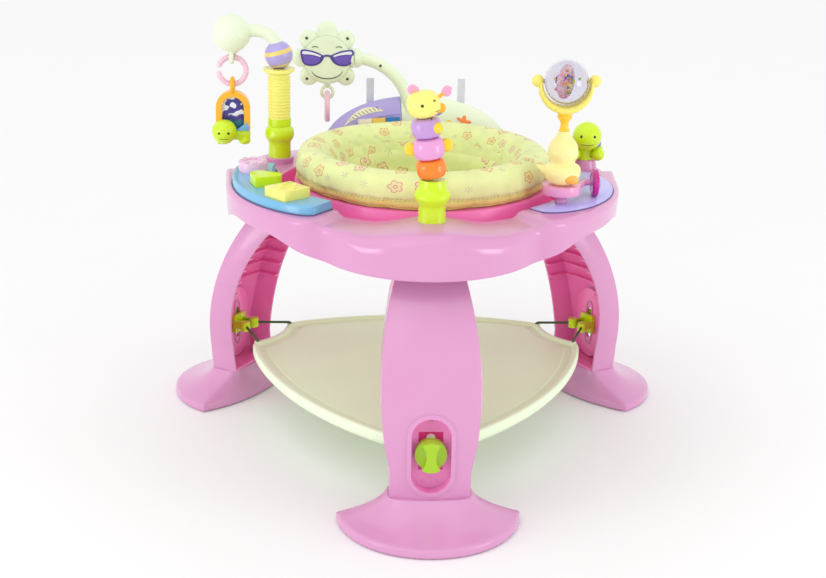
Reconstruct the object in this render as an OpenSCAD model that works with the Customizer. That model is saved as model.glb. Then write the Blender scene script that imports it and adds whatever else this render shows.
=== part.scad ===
// Three-legged baby jumper: a ring tray on curved legs, a turning padded seat,
// a hung bounce platform with height adjusters, and toys round the tray.
// Lengths are in millimetres. The origin is on the floor under the middle of the part.

/* [Feet] */
// How far a foot reaches out beyond the leg's outer face
foot_toe = 79; // [66:1:92]
// Half the length of a foot, from its middle to a tip
foot_half = 126; // [116:1:136]
// How far the tips of a foot lie inside the leg's outer face
foot_tip_back = 36; // [30:1:42]
// How far the inner edge of a foot lies inside the leg's outer face
foot_heel = 71; // [64:1:78]
// Height of a foot where the leg stands on it
foot_h = 48; // [44:1:54]
// Height of the upright lip round a foot
foot_lip = 9; // [7:0.5:12]
// Height of the rubber pads under a foot
pad_h = 2; // [1:0.5:4]
// Radius of a rubber pad
pad_r = 12; // [9:0.5:15]

/* [Legs] */
// Radius of a leg's outer arc, seen from its side
leg_arc_r = 340; // [330:1:350]
// Distance of a leg's outer face from the wall of the well, where it meets the tray
leg_top_gap = 36.65; // [34:0.05:40]
// How much further out that face lies at the foot
leg_spread = 102.35; // [96:0.05:108]
// Depth of the leg's open channel
leg_depth = 50; // [46:1:54]
// Width of a leg at its widest
leg_w = 134; // [126:1:142]
// Width of a leg at its foot
leg_base_w = 109; // [104:1:114]
// Height at which a leg is widest
leg_wide_z = 195; // [185:1:205]
// Radius of the two side arcs of a leg
leg_side_r = 470; // [440:5:500]
// Wall of the leg
leg_wall = 3.5; // [2.5:0.5:4.5]
// Radius of the crown across a leg's outer face
leg_crown_r = 200; // [180:5:240]

/* [Tray] */
// Height of the tray's top
tray_top = 392; // [386:1:398]
// Height of the tray's lowest edge, under the lobes
tray_bottom = 341; // [337:1:345]
// Wall of the tray
tray_wall = 3.5; // [3:0.5:4]
// Radius of each lobe over a leg
lobe_r = 158; // [154:1:162]
// How far the centre of a lobe lies inside the wall of the well
lobe_in = 56; // [52:1:59]
// Width of the tray at its toy stations, from the well to the edge
station_w = 75; // [72:1:78]
// How far the outline draws in between a station and a lobe
station_dip = 20; // [14:1:24]
// Height of the two raised toy stations above the top
station_rise = 8; // [6:1:9]
// Height of the hump over the front leg above the top
hump_rise = 13; // [10:1:15]
// Gap between the padded hoop and the wall of the seat well
well_gap = 25; // [23:1:26]

/* [Seat] */
// Outer radius of the padded hoop
hoop_r = 190; // [186:1:193]
// Width of the hoop, from its outside to its opening
hoop_w = 64; // [60:1:70]
// Height of the top of the hoop above the floor
hoop_top = 452; // [446:1:458]
// Thickness of the hoop from its underside to its top
hoop_h = 52; // [48:1:54]
// Depth of the sling below the hoop
sling_depth = 128; // [110:1:132]
// Radius of each leg hole in the sling
leg_hole_r = 40; // [36:1:43]

/* [Bounce platform] */
// Height of the platform's rim above the floor
deck_top = 106; // [100:1:112]
// Thickness of the platform
deck_h = 20; // [16:1:24]
// Distance of the platform's cut corners from the legs' outer faces
deck_gap = 80; // [77:1:84]
// How much nearer the seat axis the middle of a side lies than the corners
deck_bow = 50; // [44:1:56]
// Radius of each bowed side
deck_side_r = 556; // [520:2:600]
// Diameter of the cords that carry the platform
cord_d = 4; // [3:0.5:5]

/* [Height adjusters] */
// Height of the adjusters in their middle place
adjust_z = 112; // [109:1:115]
// Travel of the adjusters each way from the middle
adjust_travel = 20; // [16:1:22]
// Radius of a knob
knob_r = 21.5; // [19:0.5:23]
// Width of the oval pocket round a knob
pocket_w = 53; // [51:1:56]
// Height of the oval pocket
pocket_h = 105; // [100:1:108]

/* [Toys] */
// Distance of the toy posts from the wall of the well
post_gap = 35; // [31:1:38]
// Height of the left post with its tube
left_post_h = 138; // [132:1:144]
// Length of the left arm from the post to its ball
left_arm_x = 71; // [68:1:76]
// Radius of the ball at the end of the left arm
arm_ball_r = 29; // [26:0.5:31]
// Radius of the ring links
link_r = 21; // [20:0.5:23]
// Radius of the flower's face
flower_r = 42; // [39:0.5:45]
// Radius of the bend of the flower's arm
flower_bend_r = 90; // [86:1:96]
// Radius of the bug's beads
bead_r = 20; // [18:0.5:22]
// Radius of the clear ball
clear_r = 31; // [28:0.5:33]
// Radius of the rolling wheel
wheel_r = 19; // [17:0.5:20]
// Height of the music panel above the tray
panel_h = 82; // [76:1:88]

/* [Hidden] */
$fn = 64;
front_deg = -90;
right_deg = 30;
left_deg = 150;
LEG_ANGLES = [front_deg, right_deg, left_deg];
overrun = 1;
slip = 0.3;
running = 0.05;

// Main radii from the seat axis, each from the one inside it
hoop_hole_r = hoop_r - hoop_w;
well_r = hoop_r + well_gap;
station_r = well_r + station_w;
lobe_x = well_r - lobe_in;
post_r = well_r + post_gap;
leg_top_x = well_r + leg_top_gap;
leg_foot_x = leg_top_x + leg_spread;
foot_reach = leg_foot_x + foot_toe;
foot_tip_r = leg_foot_x - foot_tip_back;
foot_inner_r = leg_foot_x - foot_heel;
deck_corner_r = leg_foot_x - deck_gap;
deck_side_x = deck_corner_r - deck_bow;
reach_all = 2 * foot_reach;

// Colours
pink = "#ecb0d6";
magenta = "#e2146e";
lime = "#cdee1a";
yellow = "#f7e878";
gold = "#f9bd1d";
pale_green = "#dff0cc";
lavender = "#b4a5e1";
blue = "#7dbee1";
orange = "#ff8200";
purple = "#6e50be";
cream = "#ece8cc";
cloth = "#deec96";
dark_green = "#3c5a32";
grey = "#55585c";

// Feet: the outer edge is one arc through both tips, the inner edge a flatter one
foot_sag = foot_reach - foot_tip_r;
foot_arc_r = (foot_half * foot_half + foot_sag * foot_sag) / (2 * foot_sag);
foot_arc_x = foot_reach - foot_arc_r;
foot_arc_deg = acos((foot_tip_r - foot_arc_x) / foot_arc_r);
inner_sag = foot_tip_r - foot_inner_r;
inner_arc_r = (foot_half * foot_half + inner_sag * inner_sag) / (2 * inner_sag);
inner_arc_x = foot_inner_r + inner_arc_r;
inner_arc_deg = asin(foot_half / inner_arc_r);
foot_steps = 14;
// How far up the roof of a foot each ring lies, and how far in towards the leg
foot_in_shares = [0, 0.03, 0.2, 0.4, 0.6, 0.78, 0.9, 1];
foot_up_shares = [0, 0.1, 0.2, 0.32, 0.47, 0.64, 0.8, 1];
rear_reach = foot_arc_x / 2 + foot_arc_r;
axis_y = (foot_reach - rear_reach) / 2;

// Legs
neck_rise = 6;
neck_z = tray_bottom + neck_rise;
leg_rise = neck_z - foot_h;
leg_chord = sqrt(leg_rise * leg_rise + leg_spread * leg_spread);
leg_arc_in = sqrt(leg_arc_r * leg_arc_r - leg_chord * leg_chord / 4);
leg_arc_x = (leg_top_x + leg_foot_x) / 2 - leg_arc_in * leg_rise / leg_chord;
leg_arc_z = (neck_z + foot_h) / 2 - leg_arc_in * leg_spread / leg_chord;
pocket_rim = 6;
pocket_proud = 2;
crown_x = leg_arc_x + leg_arc_r - leg_crown_r;
leg_inner_r = leg_arc_r - leg_depth;
leg_min_x = well_r + 2 * tray_wall;
leg_side_x = leg_side_r - leg_w / 2;
leg_base_h = 42;
leg_plate = 4;
leg_rib = 2.5;
leg_rib_depth = 9;
leg_rib_step = 21;
leg_rib_count = 6;
leg_rib_z = adjust_z + pocket_h / 2 + pocket_rim + leg_rib_step / 2;
tenon_gap = 11;
tenon_x = well_r + tenon_gap;
tenon_d = 32;
tenon_w = 78;
tenon_rise = 27;
tenon_top = tray_bottom + tenon_rise;
base_margin = 3;
base_d = leg_depth + 2 * base_margin;
base_x = leg_foot_x + base_margin - base_d / 2;
base_half = leg_base_w / 2 + base_margin;

// Tray
tray_steps = 96;
lobe_blend = 40;
skirt_taper = 2;
skirt_lift = 27;
skirt_from_deg = 26;
skirt_step_deg = 26;
edge_r = 7;
lobe_edge_r = 22;
lobe_edge_deg = 16;
lobe_edge_step_deg = 14;
station_back_deg = 90;
station_ramp_deg = 14;
station_full_deg = 28;
station_left_deg = 202;
station_right_deg = -22;
station_half_deg = 32;
station_step_deg = 4;
hump_half_deg = 22;
lip_w = 17;
lip_r = well_r - lip_w;
lip_lift = 1;
lip_z = tray_bottom + lip_lift;
boss_r = 7;
boss_w = 50;
tray_screw_x = tenon_x + tenon_d / 2;

// Screws
screw_r = 2;
screw_head_r = 4.2;
screw_head_h = 3;
tray_screw_l = 18;
foot_screw_l = 18;
foot_screw_w = 70;

// Seat bearing: a fixed race, a turning ring and its glides
race_wall = 3;
race_out_r = well_r - 2 * slip;
race_z = lip_z + tray_wall;
race_ledge = 3;
race_h = 24;
glide_h = 3;
glide_r = 3;
glide_count = 9;
ring_wall = 3.5;
ring_z = race_z + race_ledge + slip + glide_h;
ring_out_r = race_out_r - race_wall - 2 * slip;
ring_flange = 24.8;
ring_in_r = ring_out_r - ring_flange;
hoop_z = hoop_top - hoop_h;
ring_top = hoop_z - slip;
shelf_w = 34;
ring_shelf_r = hoop_r - shelf_w;
hoop_fat_r = hoop_h / 2;
hoop_thinning = 2;
hoop_thin_r = hoop_fat_r - hoop_thinning;
hoop_z_mid = hoop_z + hoop_fat_r;
welt_r = 1.8;
welt_lift = 7;
sling_wall = 4;
sling_tuck = 8;
sling_r = hoop_hole_r + sling_tuck;
leg_hole_share = 0.433;
leg_hole_x = sling_r * leg_hole_share;
sling_shares = [
    [1, 1], [0.97, 0.8], [0.93, 0.55], [0.88, 0.32], [0.78, 0.15], [0.6, 0.05], [0.35, 0.01], [0, 0]
];

// Platform
deck_side_c = deck_side_r - deck_side_x;
deck_rim = 9;
deck_dish = 5;
deck_under = 6;
notch_r = 80;
notch_off = 64;
notch_x = deck_corner_r + notch_off;
horn_inset = 10;
horn_x = deck_corner_r - horn_inset;
horn_side = 15.950836;
horn_edge = sqrt(deck_side_r ^ 2 - (horn_x + deck_side_c * cos(60)) ^ 2) - deck_side_c * sin(60);
horn_w = 2 * (horn_edge - horn_side);
horn_hole_r = cord_d / 2 + slip;
knot_r = cord_d;
cord_bend_r = cord_d * 0.6;

// Adjusters
pocket_deep = 18;
floor_x = leg_arc_x + leg_arc_r - pocket_deep;
floor_t = 4;
shaft_r = 6;
slot_w = 2 * shaft_r + 2 * slip;
clip_w = 30;
clip_h = 30;
clip_t = 6;
clip_in_x = floor_x - floor_t - slip - clip_t;
eye_r = 7.5;
eye_out = 18;
eye_x = clip_in_x - eye_out;
eye_w = 24;
arm_t = 6;
knob_t = 10;
grip_h = 12;
grip_w = 13;
grip_waist_r = 30;
knob_x = floor_x + slip;
knob_cap = 2;
shaft_end_x = knob_x + knob_t - knob_cap;

// Left station: a shaped tray with three press blocks
sector_steps = 24;
shape_top = tray_top + station_rise;
shape_h = 13;
shape_gap = 7;
shape_inner_gap = 5;
shape_step = 2;
shape_from_deg = 171;
shape_to_deg = 233;
block_h = 20;
block_travel = 4;
block_play = 0.5;
shape_floor = 3;
pocket_d = shape_h - shape_floor;
square_w = 44;
square_deg = 219;
square_at = [post_r * cos(square_deg), post_r * sin(square_deg)];
square_turn = 40;
heart_r = 14;
heart_deg = 202;
heart_at = [post_r * cos(heart_deg), post_r * sin(heart_deg)];
heart_turn = 18;
round_r = 21;
round_deg = 183;
round_at = [post_r * cos(round_deg), post_r * sin(round_deg)];
petal_count = 8;
petal_r = 5;

// Left post
left_at = [post_r * cos(left_deg), post_r * sin(left_deg)];
left_boss_h = 10;
left_boss_r = 21;
left_base_h = 60;
left_base_r = 22.5;
left_base_shares = [
    [0.78, 0], [0.76, 0.3], [0.8, 0.4], [0.98, 0.52], [1, 0.62],
    [0.93, 0.74], [0.76, 0.8], [0.8, 0.84], [0.8, 1]
];
tube_r = 16;
tube_flange_r = 24;
tube_flange_h = 10;
tube_ribs = 13;
tube_rib_r = 1.6;
left_base_z = tray_top + left_boss_h;
tube_z = left_base_z + left_base_h;
tube_h = left_post_h - left_base_h;
stem_r = 6;
stem_l = 40;
stripe_ball_r = 21.5;
stripe_ball_sink = 1.5;
stripe_ball_z = tube_z + tube_h + stripe_ball_r - stripe_ball_sink;
arm_r = 9.5;
arm_bend_r = 34;
arm_drop = 4;
arm_lift = 2;
arm_ball_x = left_at[0] - left_arm_x;
arm_ball_z = stripe_ball_z + arm_lift + arm_bend_r - arm_drop;
loop_r = 10;
loop_wire_r = 3.5;
link_wire_r = 4.5;
lug_drop = 5;
lug_z = arm_ball_z - arm_ball_r - lug_drop;
link_z = lug_z - loop_r + loop_wire_r + slip + link_wire_r - link_r;
hook_z = link_z - link_r + link_wire_r + slip - loop_r + loop_wire_r;

// Hanging turtle
arch_r = 26;
arch_t = 16;
arch_wall = 9;
arch_leg = 34;
arch_z = hook_z - loop_r - arch_r + loop_wire_r / 2;
arch_panel_t = 5;
turtle_head_r = 19;
turtle_foot_r = 8;

// Flower and its arm
flower_at_x = -144;
flower_in = 10;
flower_y = post_r - flower_in;
flower_t = 22;
face_h = 3;
petal_out_r = 57;
petal_tip_r = 15;
petal_top_r = 17;
flower_hub_x = 43;
arm_tube_r = 10;
flower_pin_r = 5;
flower_pin_l = 26;
flower_hub_r = 9.5;
arm_end_x = flower_at_x + flower_hub_x;
arm_post_x = arm_end_x + flower_bend_r;
arm_post_h = 54;
flower_z = tray_top + arm_post_h + flower_bend_r;
ring_hole_r = 7;
ring_band = 5;
ring_gap = 14;
ring_drop = flower_r + ring_gap;
flower_link_z = flower_z - ring_drop - ring_hole_r + 2 * slip + link_wire_r - link_r;

// Bug
bug_tilt = 8;
bug_base_h = 58;
bug_base_r = 24;
bug_base_shares = [
    [0.78, 0], [0.76, 0.35], [0.84, 0.45], [1, 0.58], [0.98, 0.68], [0.8, 0.8], [0.74, 0.88], [0.7, 1]
];
bug_base_z = tray_top + hump_rise;
bug_z = bug_base_z + bug_base_h;
bug_shaft_r = 4;
bead_hs = [25, 28, 26];
bead_gap = 0.5;
bead_foot = 3;
bead_zs = [
    bead_foot,
    bead_foot + bead_hs[0] + bead_gap,
    bead_foot + bead_hs[0] + bead_hs[1] + 2 * bead_gap
];
head_z = bead_zs[2] + bead_hs[2] + bead_gap;
head_r = 22;
head_h = 36;
bead_shares = [[0.62, 0], [0.86, 0.08], [0.98, 0.3], [1, 0.5], [0.98, 0.7], [0.86, 0.92], [0.62, 1]];
head_shares = [[0.45, 0], [0.8, 0.12], [0.98, 0.35], [1, 0.55], [0.86, 0.8], [0.55, 0.95], [0.2, 1]];
bug_pad_r = 8;
bug_pad_t = 12;
feeler_r = 6;
feeler_wire_r = 2.4;
feeler_tilt = 16;

// Right station: plate, boat, duck and spinning moon
plate_h = 2.5;
plate_from_deg = -50;
plate_to_deg = 9;
duck_deg = -35.48;
duck_in = 19.13;
duck_out_r = post_r - duck_in;
duck_at = [duck_out_r * cos(duck_deg), duck_out_r * sin(duck_deg)];
boat_z = shape_top + plate_h;
boat_h = 25;
boat_r = 27;
boat_hull_h = 13;
boat_shares = [[0.34, 0], [0.3, 0.3], [0.42, 0.6], [0.72, 0.85], [0.96, 1]];
duck_z = boat_z + boat_h;
duck_r = 26;
duck_h = 76;
duck_shares = [
    [0.5, 0], [0.85, 0.08], [1, 0.22], [0.92, 0.34], [0.66, 0.41],
    [0.78, 0.52], [0.82, 0.62], [0.72, 0.76], [0.42, 0.9], [0.3, 1]
];
duck_tail = 20;
moon_pin_r = 4;
moon_pin_l = 30;
moon_z = duck_z + duck_h + slip;
goblet_h = 30;
goblet_r = 11;
goblet_shares = [[0.7, 0], [0.55, 0.15], [0.55, 0.4], [0.95, 0.62], [0.85, 0.72], [1, 0.82], [0.8, 1]];
yoke_band = 7;
yoke_t = 22;
yoke_gap = 1;
clear_z = moon_z + goblet_h + yoke_band + clear_r;
clear_wall = 2;
yoke_pin_r = 3;
yoke_knob_r = 9;
knob_end_shares = [[0.8, 0], [0.98, 0.25], [1, 0.45], [0.84, 0.75], [0.5, 0.95], [0.15, 1]];
core_t = 3;
core_bead_r = 5;
wheel_dx = 52;
wheel_dy = 30;
wheel_at = [duck_at[0] + wheel_dx, duck_at[1] + wheel_dy];
wheel_w = 12;
wheel_tyre_r = 5;
axle_r = 4;

// Turtle on a pedestal, behind the right station
perch_deg = 19.5;
perch_out = 22;
perch_at = [(post_r + perch_out) * cos(perch_deg), (post_r + perch_out) * sin(perch_deg)];
perch_h = 18;
perch_r = 19;
perch_pin_r = 5;
perch_turn = -95;
perch_head_r = 22;
perch_foot_r = 10;
perch_shell_r = 24;
perch_head_z = 2 * perch_foot_r + perch_head_r * 0.85;

// Music panel
panel_from_deg = 123;
panel_mid_deg = 96;
panel_to_deg = 57;
panel_gap = 7;
panel_d = 46;
panel_in_r = well_r + panel_gap;
panel_out_r = panel_in_r + panel_d;
panel_steps = 16;
panel_shares = [
    [0, 0], [0.04, 0.2], [0.1, 0.45], [0.2, 0.7], [0.36, 0.9],
    [0.55, 1], [0.75, 0.92], [0.92, 0.68], [1, 0.3], [1, 0]
];
panel_seam_deg = 0.1;
panel_end_deg = 2;
panel_blunt = 0.32;
panel_span_deg = panel_from_deg - panel_to_deg + 2 * panel_end_deg;
// The flower's arm leans inside the dome by this much, above the start of its bend
arm_in_dome = max(0, panel_h - arm_post_h);
arm_drift = flower_bend_r - sqrt(flower_bend_r * flower_bend_r - arm_in_dome * arm_in_dome);
dome_bore_r = arm_tube_r + arm_drift / 2 + 2 * slip;
face_slope = 11;
key_degs = [112, 106, 100];
key_w = 22;
key_h = 34;
key_t = 6;
key_gap = 3.5;
key_rise = 34;
key_z = tray_top + key_rise;
key_set = 4.6;
key_x = panel_in_r + key_set;
key_travel = 2.5;
key_stem_r = 4;
key_stem_l = 10;
button_deg = 118;
button_rise = 24;
button_z = tray_top + button_rise;
button_r = 8;
tab_w = 12;
tab_t = 3;
tab_h = 26;
tab_as = [106, 74];

// Angle between two bearings, and a smooth step from 0 to 1
function apart(a, b) = abs((a - b + 900) % 360 - 180);
function soft_step(x) = let (t = max(0, min(1, x))) t * t * (3 - 2 * t);
function off_leg(a) = min([for (l = LEG_ANGLES) apart(a, l)]);

// Smooth curve through a short list of points
function curve_at(p, i, t) =
    let (a = p[max(0, i - 1)], b = p[i], c = p[i + 1], d = p[min(len(p) - 1, i + 2)])
    ((2 * b) + (c - a) * t + (2 * a - 5 * b + 4 * c - d) * t * t + (3 * b - a - 3 * c + d) * t * t * t) / 2;
function curve(p, n) = concat(
    [for (i = [0:len(p) - 2]) for (k = [0:n - 1]) curve_at(p, i, k / n)],
    [p[len(p) - 1]]
);

// Plan outline, top and bottom of the tray at a bearing
function lobe_reach(d) = lobe_x * cos(d) + sqrt(max(0, lobe_r * lobe_r - pow(lobe_x * sin(d), 2)));
function blend_reach(lobe, station) = pow(pow(lobe, lobe_blend) + pow(station, lobe_blend), 1 / lobe_blend);
function round_station(a) = max([for (s = [station_left_deg, station_right_deg, station_back_deg])
    soft_step((station_full_deg + station_ramp_deg - apart(a, s)) / station_ramp_deg)]);
function station_reach(a) = station_r - station_dip * (1 - round_station(a));
function tray_reach(a) = blend_reach(lobe_reach(off_leg(a)), station_reach(a));
function on_station(a) = max([for (s = [station_left_deg, station_right_deg])
    soft_step((station_half_deg + station_step_deg - apart(a, s)) / station_step_deg)]);
function on_hump(a) = soft_step(1 - apart(a, front_deg) / hump_half_deg);
function tray_height(a) = tray_top + station_rise * on_station(a) + hump_rise * on_hump(a);
function skirt_height(a) = tray_bottom
    + skirt_lift * soft_step((off_leg(a) - skirt_from_deg) / skirt_step_deg);
function tray_edge(a) = edge_r + (lobe_edge_r - edge_r) * (1 - on_station(a))
    * soft_step(1 - (off_leg(a) - lobe_edge_deg) / lobe_edge_step_deg);
function tray_section(a) =
    let (r = tray_reach(a), t = tray_height(a), b = skirt_height(a))
    let (w = tray_wall, e = tray_edge(a), q = e - w)
    [
        [lip_r, lip_z],
        [well_r + w, lip_z],
        [well_r + w, t - w],
        [r - e, t - w],
        [r - e + q * cos(45), t - e + q * sin(45)],
        [r - w, t - e],
        [r - skirt_taper - w, b],
        [r - skirt_taper, b],
        [r, t - e],
        [r - e + e * cos(30), t - e + e * sin(30)],
        [r - e + e * cos(60), t - e + e * sin(60)],
        [r - e, t],
        [well_r + w, t],
        [well_r, t - w],
        [well_r, lip_z + w],
        [lip_r, lip_z + w]
    ];

// A skin over rings of points, closed on itself or capped at both ends
module skin(rings, closed) {
    n = len(rings);
    m = len(rings[0]);
    last = closed ? n - 1 : n - 2;
    sides = [for (i = [0:last]) for (j = [0:m - 1])
        let (k = (j + 1) % m, o = ((i + 1) % n) * m, a = i * m + j, b = i * m + k, c = o + k, d = o + j)
        each [[a, b, c], [a, c, d]]];
    caps = closed ? [] : [[for (j = [m - 1:-1:0]) j], [for (j = [0:m - 1]) (n - 1) * m + j]];
    polyhedron(points = [for (r = rings) each r], faces = concat(sides, caps), convexity = 8);
}

module about_axis(a) {
    translate([0, axis_y, 0]) rotate([0, 0, a]) children();
}

module standing(at, z) {
    translate([at[0], at[1] + axis_y, z]) children();
}

module turned(shares, r, h) {
    rotate_extrude() polygon(concat(
        [[0, 0]],
        [for (p = curve(shares, 4)) [max(0, p[0]) * r, p[1] * h]],
        [[0, h]]
    ));
}

module torus(big, wire) {
    rotate_extrude() translate([big, 0]) circle(wire, $fn = 32);
}

module rod(p, q, r) {
    v = q - p;
    translate(p) rotate([0, acos(v[2] / norm(v)), atan2(v[1], v[0])]) cylinder(h = norm(v), r = r, $fn = 24);
}

// Oval upright prism along the radius, used for the adjuster pocket
module oval(w, h, from_x, to_x) {
    half = (h - w) / 2;
    translate([from_x, 0, adjust_z]) rotate([90, 0, 90]) linear_extrude(to_x - from_x) union() {
        translate([0, half]) circle(w / 2);
        translate([0, -half]) circle(w / 2);
        translate([-w / 2, -half]) square([w, 2 * half]);
    }
}

// Tray
module tray_ring() {
    color(pink) union() {
        translate([0, axis_y, 0]) skin([for (i = [0:tray_steps - 1])
            let (a = i * 360 / tray_steps)
            [for (p = tray_section(a)) [p[0] * cos(a), p[0] * sin(a), p[1]]]], true);
        for (a = LEG_ANGLES) for (s = [-1, 1])
            about_axis(a) translate([tray_screw_x, s * boss_w / 2, tenon_top]) {
            bearing = a + s * atan2(boss_w / 2, tray_screw_x);
            difference() {
                cylinder(h = tray_height(bearing) - tray_wall / 2 - tenon_top, r = boss_r);
                translate([0, 0, -overrun])
                    cylinder(h = tray_screw_l - leg_plate + 2 * overrun, r = screw_r + running);
            }
        }
    }
}

module toy_bosses() {
    color(pink) {
        standing(left_at, tray_top) cylinder(h = left_boss_h, r1 = left_boss_r, r2 = left_base_r);
        standing(perch_at, tray_top) difference() {
            cylinder(h = perch_h, r1 = perch_r, r2 = perch_r * 0.85);
            translate([0, 0, overrun]) cylinder(h = perch_h, r = perch_pin_r + running);
        }
    }
}

// Legs and feet
module leg_face(inset) {
    half = leg_base_w / 2 - inset;
    union() {
        intersection() {
            translate([-leg_side_x, leg_wide_z]) circle(leg_side_r - inset, $fn = 128);
            translate([leg_side_x, leg_wide_z]) circle(leg_side_r - inset, $fn = 128);
        }
        translate([-half, foot_h]) square([2 * half, leg_base_h]);
    }
}

module leg_block(inset) {
    intersection() {
        translate([crown_x, 0, 0]) rotate_extrude() intersection() {
            translate([leg_arc_x - crown_x, leg_arc_z]) circle(leg_arc_r - inset, $fn = 128);
            translate([0, foot_h]) square([reach_all, neck_z + tray_wall - foot_h]);
        }
        rotate([90, 0, 90]) linear_extrude(reach_all) leg_face(inset);
        translate([leg_min_x, -reach_all / 2, foot_h]) cube([reach_all, reach_all, neck_z - foot_h]);
    }
}

module leg_bore() {
    translate([leg_arc_x, 0, leg_arc_z]) rotate([90, 0, 0])
        cylinder(h = reach_all, r = leg_inner_r, center = true, $fn = 128);
}

module leg_tenon() {
    translate([tenon_x, -tenon_w / 2, neck_z - tenon_d / 2]) difference() {
        cube([tenon_d, tenon_w, tenon_top - neck_z + tenon_d / 2]);
        translate([-overrun, leg_wall, -overrun])
            cube([
                tenon_d - leg_wall + overrun,
                tenon_w - 2 * leg_wall,
                tenon_top - neck_z + tenon_d / 2 - leg_plate + overrun
            ]);
    }
}

module leg(a) {
    color(pink) about_axis(a) difference() {
        union() {
            difference() {
                leg_block(0);
                leg_block(leg_wall);
                leg_bore();
            }
            difference() {
                leg_tenon();
                leg_bore_room();
            }
            // Base plate on the foot
            difference() {
                intersection() {
                    leg_block(leg_wall / 2);
                    translate([0, -reach_all / 2, foot_h]) cube([reach_all, reach_all, leg_plate]);
                }
                leg_bore();
            }
            // Ribs across the upper channel
            for (i = [0:leg_rib_count - 1]) difference() {
                intersection() {
                    leg_block(leg_wall / 2);
                    translate([0, -reach_all / 2, leg_rib_z + i * leg_rib_step])
                        cube([reach_all, reach_all, leg_rib]);
                }
                leg_block(leg_wall + leg_rib_depth);
                leg_bore();
            }
            // Walls of the oval pocket
            intersection() {
                leg_block(-pocket_proud);
                oval(pocket_w + 2 * pocket_rim, pocket_h + 2 * pocket_rim, floor_x - floor_t, reach_all);
            }
        }
        oval(pocket_w, pocket_h, floor_x, reach_all);
        oval(slot_w, slot_w + 2 * adjust_travel, floor_x - floor_t - overrun, reach_all);
        for (s = [-1, 1]) {
            translate([tray_screw_x, s * boss_w / 2, tenon_top - leg_plate - overrun])
                cylinder(h = leg_plate + 2 * overrun, r = screw_r + slip);
            translate([base_x, s * foot_screw_w / 2, foot_h - overrun])
                cylinder(h = leg_plate + 2 * overrun, r = screw_r + slip);
        }
    }
}

// Room under the tenon that keeps its mouth open to the channel
module leg_bore_room() {
    translate([0, 0, -overrun]) leg_block(leg_wall);
}

module leg_front() leg(front_deg);
module leg_left() leg(left_deg);
module leg_right() leg(right_deg);

function foot_edge(k) =
    let (side = k < foot_steps, t = (side ? k : k - foot_steps) / foot_steps)
    side
        ? let (b = foot_arc_deg * (1 - 2 * t)) [foot_arc_x + foot_arc_r * cos(b), foot_arc_r * sin(b)]
        : let (b = inner_arc_deg * (1 - 2 * t)) [inner_arc_x - inner_arc_r * cos(b), -inner_arc_r * sin(b)];
function rounded(x) = sign(x) * sqrt(abs(x));
function base_edge(k) =
    let (b = 90 - 180 * k / foot_steps) [base_x + base_d / 2 * rounded(cos(b)), base_half * rounded(sin(b))];
function foot_ring(f, z) = [for (k = [0:2 * foot_steps - 1])
    let (p = foot_edge(k) * (1 - f) + base_edge(k) * f) [p[0], p[1], z]];

module foot(a) {
    color(pink) about_axis(a) difference() {
        skin(concat(
            [foot_ring(0, pad_h)],
            [for (i = [0:len(foot_in_shares) - 1])
                foot_ring(foot_in_shares[i], foot_lip + (foot_h - foot_lip) * foot_up_shares[i])]
        ), false);
        for (s = [-1, 1]) translate([base_x, s * foot_screw_w / 2, foot_h + leg_plate - foot_screw_l])
            cylinder(h = foot_screw_l, r = screw_r + running);
    }
}

module foot_front() foot(front_deg);
module foot_left() foot(left_deg);
module foot_right() foot(right_deg);

module foot_pads() {
    color(grey) for (a = LEG_ANGLES) about_axis(a) {
        translate([foot_reach - 3 * pad_r, 0, 0]) cylinder(h = pad_h, r = pad_r);
        for (s = [-1, 1]) translate([foot_tip_r + pad_r / 2, s * (foot_half - 3 * pad_r), 0])
            cylinder(h = pad_h, r = pad_r);
    }
}

module frame_screws() {
    color(grey) for (a = LEG_ANGLES) for (s = [-1, 1]) about_axis(a) {
        translate([tray_screw_x, s * boss_w / 2, tenon_top - leg_plate]) {
            cylinder(h = tray_screw_l, r = screw_r);
            translate([0, 0, -screw_head_h]) cylinder(h = screw_head_h, r = screw_head_r);
        }
        translate([base_x, s * foot_screw_w / 2, foot_h + leg_plate]) {
            translate([0, 0, -foot_screw_l]) cylinder(h = foot_screw_l, r = screw_r);
            cylinder(h = screw_head_h, r = screw_head_r);
        }
    }
}

// Height adjusters, cords and platform
function eye_at(s) = [eye_x, s * eye_w / 2, adjust_z];
function horn_at(s) = [horn_x, s * horn_w / 2, deck_top + cord_bend_r + slip];

module clip(a) {
    color(lime) about_axis(a) difference() {
        union() {
            translate([clip_in_x, -clip_w / 2, adjust_z - clip_h / 2]) cube([clip_t, clip_w, clip_h]);
            translate([clip_in_x, 0, adjust_z]) rotate([0, 90, 0])
                cylinder(h = shaft_end_x - clip_in_x, r = shaft_r);
            for (s = [-1, 1]) {
                translate(eye_at(s)) cylinder(h = 2 * eye_r, r = eye_r, center = true);
                translate([eye_x, s * eye_w / 2 - arm_t / 2, adjust_z - arm_t])
                    cube([clip_in_x + clip_t / 2 - eye_x, arm_t, 2 * arm_t]);
            }
        }
        for (s = [-1, 1]) let (v = (horn_at(s) - eye_at(s)) / norm(horn_at(s) - eye_at(s)))
            rod(eye_at(s) - v * eye_r * 2, eye_at(s) + v * eye_r * 2, cord_d / 2 + slip);
    }
}

module clip_front() clip(front_deg);
module clip_left() clip(left_deg);
module clip_right() clip(right_deg);

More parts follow.
